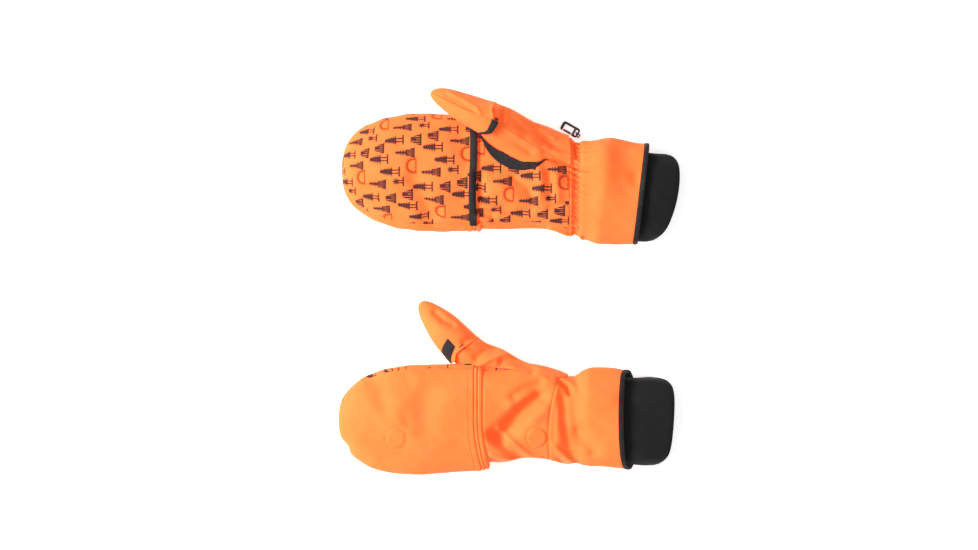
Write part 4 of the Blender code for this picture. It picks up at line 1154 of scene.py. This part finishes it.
def on_palm(m, x, y, lift):
    """Points of the palm above or below given x, y, lifted off it."""
    row = through_rows(m.hand, x)
    centre, half_width, palm, _, mid = np.moveaxis(row, -1, 0)
    share = np.clip(np.abs(y - centre) / half_width, 0.0, 1.0)
    out = palm * (1.0 - share ** OVAL_POWER) ** (1.0 / OVAL_POWER) + lift
    return np.stack([x, y, mid + m.up * out], axis=-1)


def make_thumb(maker):
    """Thumb: outer shell, palm-facing panel and lining."""
    m = maker.m
    t = np.concatenate([np.linspace(0.0, 1.0, 60), np.linspace(1.02, 1.12, 5)])[:, None]
    share = 1.0 - smooth_step((t - 0.93) / 0.1)
    for part, span, count, width in (("thumb_outer_shell", OUTER_SPAN, 120, 100.0),
                                     ("thumb_inner_panel", INNER_SPAN, 64, 40.0)):
        angles = np.linspace(*span, count)
        points = shaft_point(m, t, angles)
        normal = normals_of(points, False)
        if np.sum(normal * (points - points.mean(axis=(0, 1)))) < 0.0:
            normal = -normal
        dip = seam_dip(angles, span, 0.75, THUMB_SEAM_DEGREES)[:, None]
        maker.cloth(part, crease(m, points - normal * dip, share), 1.0, "orange_fleece",
                    (width, 95.0, 0.6), "stretched", "thumb_lining")
    angles = np.linspace(0.0, 360.0, 72, endpoint=False)
    t = np.concatenate([np.linspace(0.12, 1.0, 24), np.linspace(1.03, 1.25, 6)])[:, None]
    beyond = np.maximum(t - 1.0, 0.0) * (52.0 + 16.0 * np.cos(np.radians(angles)))
    points = shaft_point(m, np.minimum(t, 1.0), angles, 1.8)
    points = points + thumb_frame(m)[1] * beyond[..., None]
    share = 1.0 - smooth_step((t - 0.88) / 0.1)
    maker.cloth("thumb_lining", crease(m, points, share), 0.8, "orange_lining",
                (130.0, 90.0, 0.7), "stretched", "thumb_outer_shell", closed=True)


def make_crescent(maker):
    """Black insert at the thumb's root."""
    m = maker.m
    upper, lower = along(CRESCENT_UPPER, 60), along(CRESCENT_LOWER, 60)
    share = np.linspace(0.0, 1.0, 14)[:, None]
    plan = lower + (upper - lower) * share[..., None]
    lift = 0.95 - 0.5 * np.exp(-(share / 0.1) ** 2)
    points = crease(m, on_palm(m, plan[..., 0], plan[..., 1], lift))
    maker.cloth("thumb_crescent", points, 1.3, "black_binding", (18.0, 78.0, 0.45), "stretched",
                "palm_panel", hint=(0.0, 0.0, m.up))


def cap_edge(m, angle):
    """How far the cap's mouth reaches over the thumb at each angle, in millimetres."""
    angle = angle % 360.0
    outer = 1.8 * np.exp(-(((angle + 180.0) % 360.0 - 180.0) / 45.0) ** 2)
    reach, middle, width = (6.6, 112.0, 42.0) if m.palm_up else (5.0, 205.0, 32.0)
    return 0.6 + outer + reach * np.exp(-((angle - middle) / width) ** 4)


def make_cap(maker):
    """Thumb cap: back, front, and the black binding round its mouth's finger side."""
    m = maker.m
    length = thumb_frame(m)[3]
    closing = (0.0005 + 0.9995 * np.cos(np.radians(np.linspace(90.0, 0.0, 60))))[:, None]
    for part, span, count, width in (("thumb_cap_back", OUTER_SPAN, 96, 62.0),
                                     ("thumb_cap_front", INNER_SPAN, 52, 34.0)):
        angles = np.linspace(*span, count)
        edge = -cap_edge(m, angles) / length
        dip = seam_dip(angles, span, 0.8, THUMB_SEAM_DEGREES)
        points = crease(m, cap_point(m, edge + (0.9985 - edge) * closing, angles, dip))
        maker.cloth(part, points, CLOTH, "orange_fleece", (width, 62.0, 0.7), "stretched",
                    "thumb_lining", "thumb_cap")
    if m.palm_up:
        angles = np.linspace(91.0, 205.0, 60)
        low = -cap_edge(m, angles) - 5.6 * np.clip((212.0 - angles) / 110.0, 0.0, 1.0) ** 0.8
        high = 1.2 - cap_edge(m, angles)
    else:
        angles, low, high = (np.linspace(*ends, 50)
                             for ends in ((196.0, 258.0), (-5.0, 4.5), (8.0, 14.0)))
    share = np.linspace(0.0, 1.0, 10)[:, None]
    inset = -0.35 - 0.35 * np.sin(share * math.pi)
    points = crease(m, cap_point(m, (low + (high - low) * share) / length, angles, inset))
    maker.cloth("thumb_cap_binding", points, 1.5, "black_binding", (14.0, 34.0, 0.5), "folded",
                "thumb_cap_front", "thumb_cap")


def make_cap_hinge(maker):
    """Tongue of cloth that joins the cap to the thumb on the outer side, where it folds."""
    m = maker.m
    mouth, way, outer, _ = thumb_frame(m)
    angles = np.linspace(-48.0, 48.0, 40)
    reach = np.linspace(-7.0, 6.0, 27)[:, None]
    tuck = 1.2 * smooth_step((reach + 1.0) / 3.0) + 1.4 * smooth_step((-4.5 - reach) / 2.5)
    points = thumb_ring(m, angles, reach, CAP_HALF_WIDTH - 0.6 - tuck, CAP_HALF_HEIGHT - 1.0 - tuck)
    edge = mouth + outer * CAP_HALF_WIDTH
    maker.cloth("thumb_cap_hinge", crease(m, points), 0.8, "orange_fleece", (28.0, 14.0, 0.95),
                "folded", "thumb_outer_shell", "thumb_cap", nodes=(),
                bend=(edge - way * 4.0, edge + way * 3.0))


def make_stalls(maker):
    """Four short open finger tubes with a rolled edge."""
    m = maker.m
    centre, _, _, _, mid = through_rows(m.hand, np.array(0.0))
    narrow = 1.0 if m.palm_up else 0.93
    turn = np.radians(np.linspace(0.0, 360.0, 48, endpoint=False))
    t = np.linspace(0.0, 1.0, 22)[:, None]
    roll = 0.5 * np.exp(-((t - 0.96) / 0.04) ** 2) - 0.25 * np.exp(-((t - 0.85) / 0.04) ** 2)
    x = 2.4 - t * (20.0 - 6.0 * np.sin(turn))
    for index, (finger, height) in enumerate((("index", 8.5), ("middle", 10.0), ("ring", 10.0),
                                              ("little", 8.5))):
        y = centre + 23.0 * (1.5 - index) * narrow + (10.2 * narrow - 0.5 + roll) * np.cos(turn)
        z = mid + m.up * (height + roll) * np.sin(turn)
        maker.cloth(f"{finger}_stall", np.stack([x, y, z], axis=-1), 1.0, "orange_lining",
                    (64.0, 26.0, 0.75), "stretched", "hand_lining", closed=True)


def make_wrist(maker):
    """Elastic, gauntlet, hem binding and knit cuff."""
    m = maker.m
    angles = spaced_angles(0.0, 360.0, 221)[:-1]
    points = crease(m, hand_point(m, np.linspace(95.0, 104.0, 10)[:, None], angles, LINING_INSET))
    maker.cloth("wrist_elastic", points, 1.0, "elastic", (12.0, 200.0), "gathered", "gauntlet",
                closed=True)
    angles = spaced_angles(0.0, 360.0, 301)[:-1]
    seam = wrist_seam(m, angles)
    x = seam + 0.3 + (m.hem_x - seam - 0.3) * np.linspace(0.0, 1.0, 64)[:, None]
    x = np.concatenate([[seam - 2.2, seam - 1.0], x])
    inset = 2.3 * smooth_step((seam + 0.9 - x) / 2.2) + 0.5 * np.exp(-((x - seam - 5.0) / 0.6) ** 2)
    maker.cloth("gauntlet", crease(m, hand_point(m, x, angles, inset)), CLOTH, "orange_fleece",
                (250.0, 68.0), "gathered", "wrist_elastic", closed=True)
    past = np.concatenate([np.linspace(-9.0, -1.2, 6), np.linspace(0.3, 4.8, 9)])[:, None]
    bulge = 0.6 * np.sin(np.clip(past / 4.8, 0.0, 1.0) * math.pi) ** 0.6
    inset = 2.6 * smooth_step((0.9 - past) / 1.6) - bulge
    points = crease(m, hand_point(m, m.hem_x + past, angles, inset))
    maker.cloth("hem_binding", points, CLOTH + 0.8, "black_binding", (20.0, 270.0, 0.7), "folded",
                "gauntlet", closed=True)
    share = np.linspace(0.0, 1.0, 54)[:, None]
    x = m.cuff[0][0] + (m.cuff[-1][0] - m.cuff[0][0]) * share
    roll = 1.6 * np.clip((share - 0.955) / 0.045, 0.0, 1.0) ** 2
    ribs = 0.10 * np.cos(np.arange(len(angles)) * math.tau / 5.0)
    run = 0.8 * np.arange(1, len(angles) + 1)
    maker.cloth("knit_cuff", crease(m, cuff_point(m, x, angles, roll + ribs)), 2.4, "black_knit",
                (205.0, 90.0), "stretched", "gauntlet", closed=True,
                flat=np.stack(np.broadcast_arrays(x, run), axis=-1))


def make_pockets(maker):
    """Round patches that hold the magnets, with an edge that is sewn down."""
    m = maker.m
    for part, body in (("hood", "hood"), ("hand", "mitten")):
        low, high = (np.array(corner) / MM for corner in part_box(f"{m.side}_{part}_magnet_pocket"))
        centre = (low + high) / 2.0 - maker.place
        inner, outer = (low[2], high[2]) if m.palm_up else (high[2], low[2])
        radius = np.array([0.05, 3.0, 6.0, 8.2, 8.9, 9.3, 9.5, 9.6])[:, None]
        share = np.array([1.0, 1.0, 0.99, 0.95, 0.8, 0.5, 0.2, 0.0])[:, None]
        turn = np.linspace(0.0, math.tau, 48, endpoint=False)
        radius = radius * (1.0 + 0.006 * np.sin(turn * 12.0))
        points = np.stack(np.broadcast_arrays(
            centre[0] + radius * np.cos(turn), centre[1] + radius * np.sin(turn),
            inner + (outer - inner) * share), axis=-1)
        maker.cloth(f"{part}_magnet_pocket", points, 0.6, "orange_lining", (22.0, 22.0, 0.75),
                    "stretched", f"{part}_lining", body, closed=True, hint=(0.0, 0.0, m.up))
        dress(FRAME["nodes"][f"{m.side}_{part}_magnet"], maker.finishes["magnet"])


def thread_on(maker, part, paths, radius, finish, slot):
    """Stitches along paths, as one piece."""
    meshes = [tube_mesh(part, path, radius) for path in paths]
    maker.add(part, joined(part, meshes), slot, nodes=(), finish=finish)


def make_stitches(maker):
    """Zigzag over the right wrist's elastic, stitches along the seam strips, and bar tacks."""
    m = maker.m
    if m.palm_up:
        angles = spaced_angles(20.0, 148.0, 36)
        ends = (104.4, 98.6)
        paths = []
        for a, b in zip(angles, angles[1:]):
            x = np.linspace(*ends, 7)
            ends = ends[::-1]
            paths.append(crease(m, hand_point(m, x, np.linspace(a, b, 7), -0.15)))
        thread_on(maker, "wrist_zigzag", paths, 0.5, "orange_thread", "orange_fleece")
    span, _ = panel_angles(m, True)
    edges = spaced_angles(span[0] + 6.0, span[1] - 6.0, 60)
    paths = [crease(m, hood_point(m, HOOD_PARALLEL + past, np.linspace(a, b, 4), -0.1))
             for past in (4.4, 10.4) for a, b in zip(edges[::2], edges[1::2])]
    thread_on(maker, "seam_stitches", paths, 0.22, "orange_thread", "orange_fleece")
    mouth, way, outer, _ = thumb_frame(m)
    backs, side, lift = (((8.6, 9.6, 10.6), (3.1, -0.1), 0.9) if m.palm_up else
                         ((-2.0, 1.4), (3.38, -2.08), 3.0))
    height = np.array([0.0, 0.0, MOUTH_HALF_HEIGHT + lift])
    paths = [crease(m, mouth + height - way * back + outer * np.linspace(*side, 6)[:, None])
             for back in backs]
    thread_on(maker, "thumb_bar_tack", paths, 0.45, "dark_thread", "black_binding")


def dress(node, finish):
    """Give a model's own piece a finish."""
    node.data.materials.clear()
    node.data.materials.append(finish)


def rounded_copy(node, name, width):
    """New piece in the shape of a model's piece, with its edges rounded."""
    mesh = FRAME["nodes"][node].data.copy()
    mesh.name = name
    bm = bmesh.new()
    bm.from_mesh(mesh)
    bmesh.ops.remove_doubles(bm, verts=bm.verts, dist=0.00002)
    bmesh.ops.dissolve_limit(bm, angle_limit=math.radians(2.0), verts=bm.verts, edges=bm.edges)
    edges = [e for e in bm.edges if e.calc_face_angle(0.0) > math.radians(35.0)]
    bmesh.ops.bevel(bm, geom=edges, offset=width, segments=3, profile=0.5, affect="EDGES",
                    clamp_overlap=True)
    bm.to_mesh(mesh)
    bm.free()
    mesh.shade_smooth()
    mesh.set_sharp_from_angle(angle=math.radians(SHARP_DEGREES))
    mesh.materials.clear()
    piece = bpy.data.objects.new(name, mesh)
    bpy.context.scene.collection.objects.link(piece)
    return piece


def make_clip(maker):
    """Plastic clip with rounded edges, its gate, and the cord loop that it hangs on."""
    # The gate's grey is a painted highlight: the light on its glossy plastic, given as its colour.
    for node, body, slot, width in (("right_clip_body", "clip", "black_plastic", 0.0005),
                                    ("right_clip_gate", "clip_gate", "grey_plastic", 0.0004)):
        piece = rounded_copy(node, node + "_moulded", width)
        piece.data.materials.append(maker.finishes[slot])
        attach(piece, body)
        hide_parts(node)
    once_and_more = along((*CLIP_LOOP, *CLIP_LOOP[:3]), 90)
    route = once_and_more[7:79]
    maker.add("clip_loop", tube_mesh("clip_loop", route, 0.62, 10, closed=True), "black_cord",
              finish="black_binding")


# ---------------------------------------------------------------- studio

def make_studio(finish):
    """Pale floor, soft lights and the camera straight above."""
    bpy.ops.mesh.primitive_plane_add(size=FLOOR_SIZE, location=(0.0, 0.0, -FLOOR_GAP))
    floor = bpy.context.object
    floor.name = "studio_floor"
    floor.data.materials.append(finish)
    for name, place, size, watts in LIGHTS:
        data = bpy.data.lights.new(name, "AREA")
        data.size = size
        data.energy = watts
        lamp = bpy.data.objects.new(name, data)
        lamp.location = place
        lamp.rotation_euler = (-lamp.location).to_track_quat("-Z", "Y").to_euler()
        bpy.context.scene.collection.objects.link(lamp)
    world = bpy.data.worlds.new("studio")
    world.use_nodes = True
    background = world.node_tree.nodes["Background"].inputs
    background["Color"].default_value = rgb(1.0, 1.0, 1.0)
    background["Strength"].default_value = WORLD_STRENGTH
    bpy.context.scene.world = world
    bpy.context.scene.view_settings.view_transform = "Standard"
    data = bpy.data.cameras.new("camera")
    data.lens = LENS
    data.sensor_width = SENSOR
    data.clip_end = 20.0
    camera = bpy.data.objects.new("camera", data)
    camera.location = (*VIEW_OVER, VIEW_HEIGHT)
    bpy.context.scene.collection.objects.link(camera)
    bpy.context.scene.camera = camera


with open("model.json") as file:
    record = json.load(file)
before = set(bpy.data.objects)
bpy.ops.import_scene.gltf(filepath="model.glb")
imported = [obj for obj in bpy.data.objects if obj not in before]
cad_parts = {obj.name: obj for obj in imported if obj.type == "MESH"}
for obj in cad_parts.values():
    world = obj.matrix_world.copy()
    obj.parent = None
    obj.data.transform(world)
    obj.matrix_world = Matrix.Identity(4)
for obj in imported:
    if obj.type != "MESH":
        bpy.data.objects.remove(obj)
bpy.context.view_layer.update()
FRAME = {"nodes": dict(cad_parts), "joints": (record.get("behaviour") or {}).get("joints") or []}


def main():
    """Build every piece of both mittens, then the studio."""
    finishes = {
        # Both fleeces carry a painted red glow that keeps their shade red.
        "orange_fleece": fleece_material("orange fleece", ORANGE, FLEECE_PAINTED_GLOW),
        "orange_lining": fleece_material("inner fleece", ORANGE_PALE, LINING_PAINTED_GLOW),
        "black_binding": tape_material(), "black_knit": knit_material(),
        "elastic": elastic_material(), "magnet": magnet_material(),
        "orange_thread": thread_material("orange thread", rgb(0.85, 0.16, 0.03),
                                         rgb(0.70, 0.11, 0.02)),
        "dark_thread": thread_material("dark thread", rgb(0.16, 0.03, 0.012),
                                       rgb(0.06, 0.015, 0.01)),
        "black_plastic": plastic_material("black plastic", rgb(0.016, 0.013, 0.014),
                                          rgb(0.05, 0.045, 0.045), 0.30),
        # Grey of the clip's gate: a painted highlight on its glossy plastic.
        "grey_plastic": plastic_material("painted highlight grey plastic", rgb(0.13, 0.12, 0.12),
                                         rgb(0.25, 0.24, 0.24), 0.35),
        "left_hood_print": printed_material("left hood print", (-33.5, 23.8)),
        "left_palm_print": printed_material("left palm print", (30.0, -14.0)),
        "right_hood_print": printed_material("right hood print", (-50.7, 5.06)),
        "right_palm_print": printed_material("right palm print", (38.6, -21.2)),
    }
    hinges = {joint["name"]: joint.get("pos_m") for joint in FRAME["joints"]}
    for m in (LEFT, RIGHT):
        pivot = hinges[f"{m.side}_hood_flip"]
        maker = Maker(m, (pivot[0] / MM, pivot[1] / MM), finishes)
        make_hood(maker)
        make_seam_strip(maker)
        make_hand(maker)
        make_thumb(maker)
        make_crescent(maker)
        make_cap(maker)
        make_cap_hinge(maker)
        make_stalls(maker)
        make_wrist(maker)
        make_pockets(maker)
        make_stitches(maker)
        if m.palm_up:
            make_clip(maker)
    make_studio(floor_material())


main()
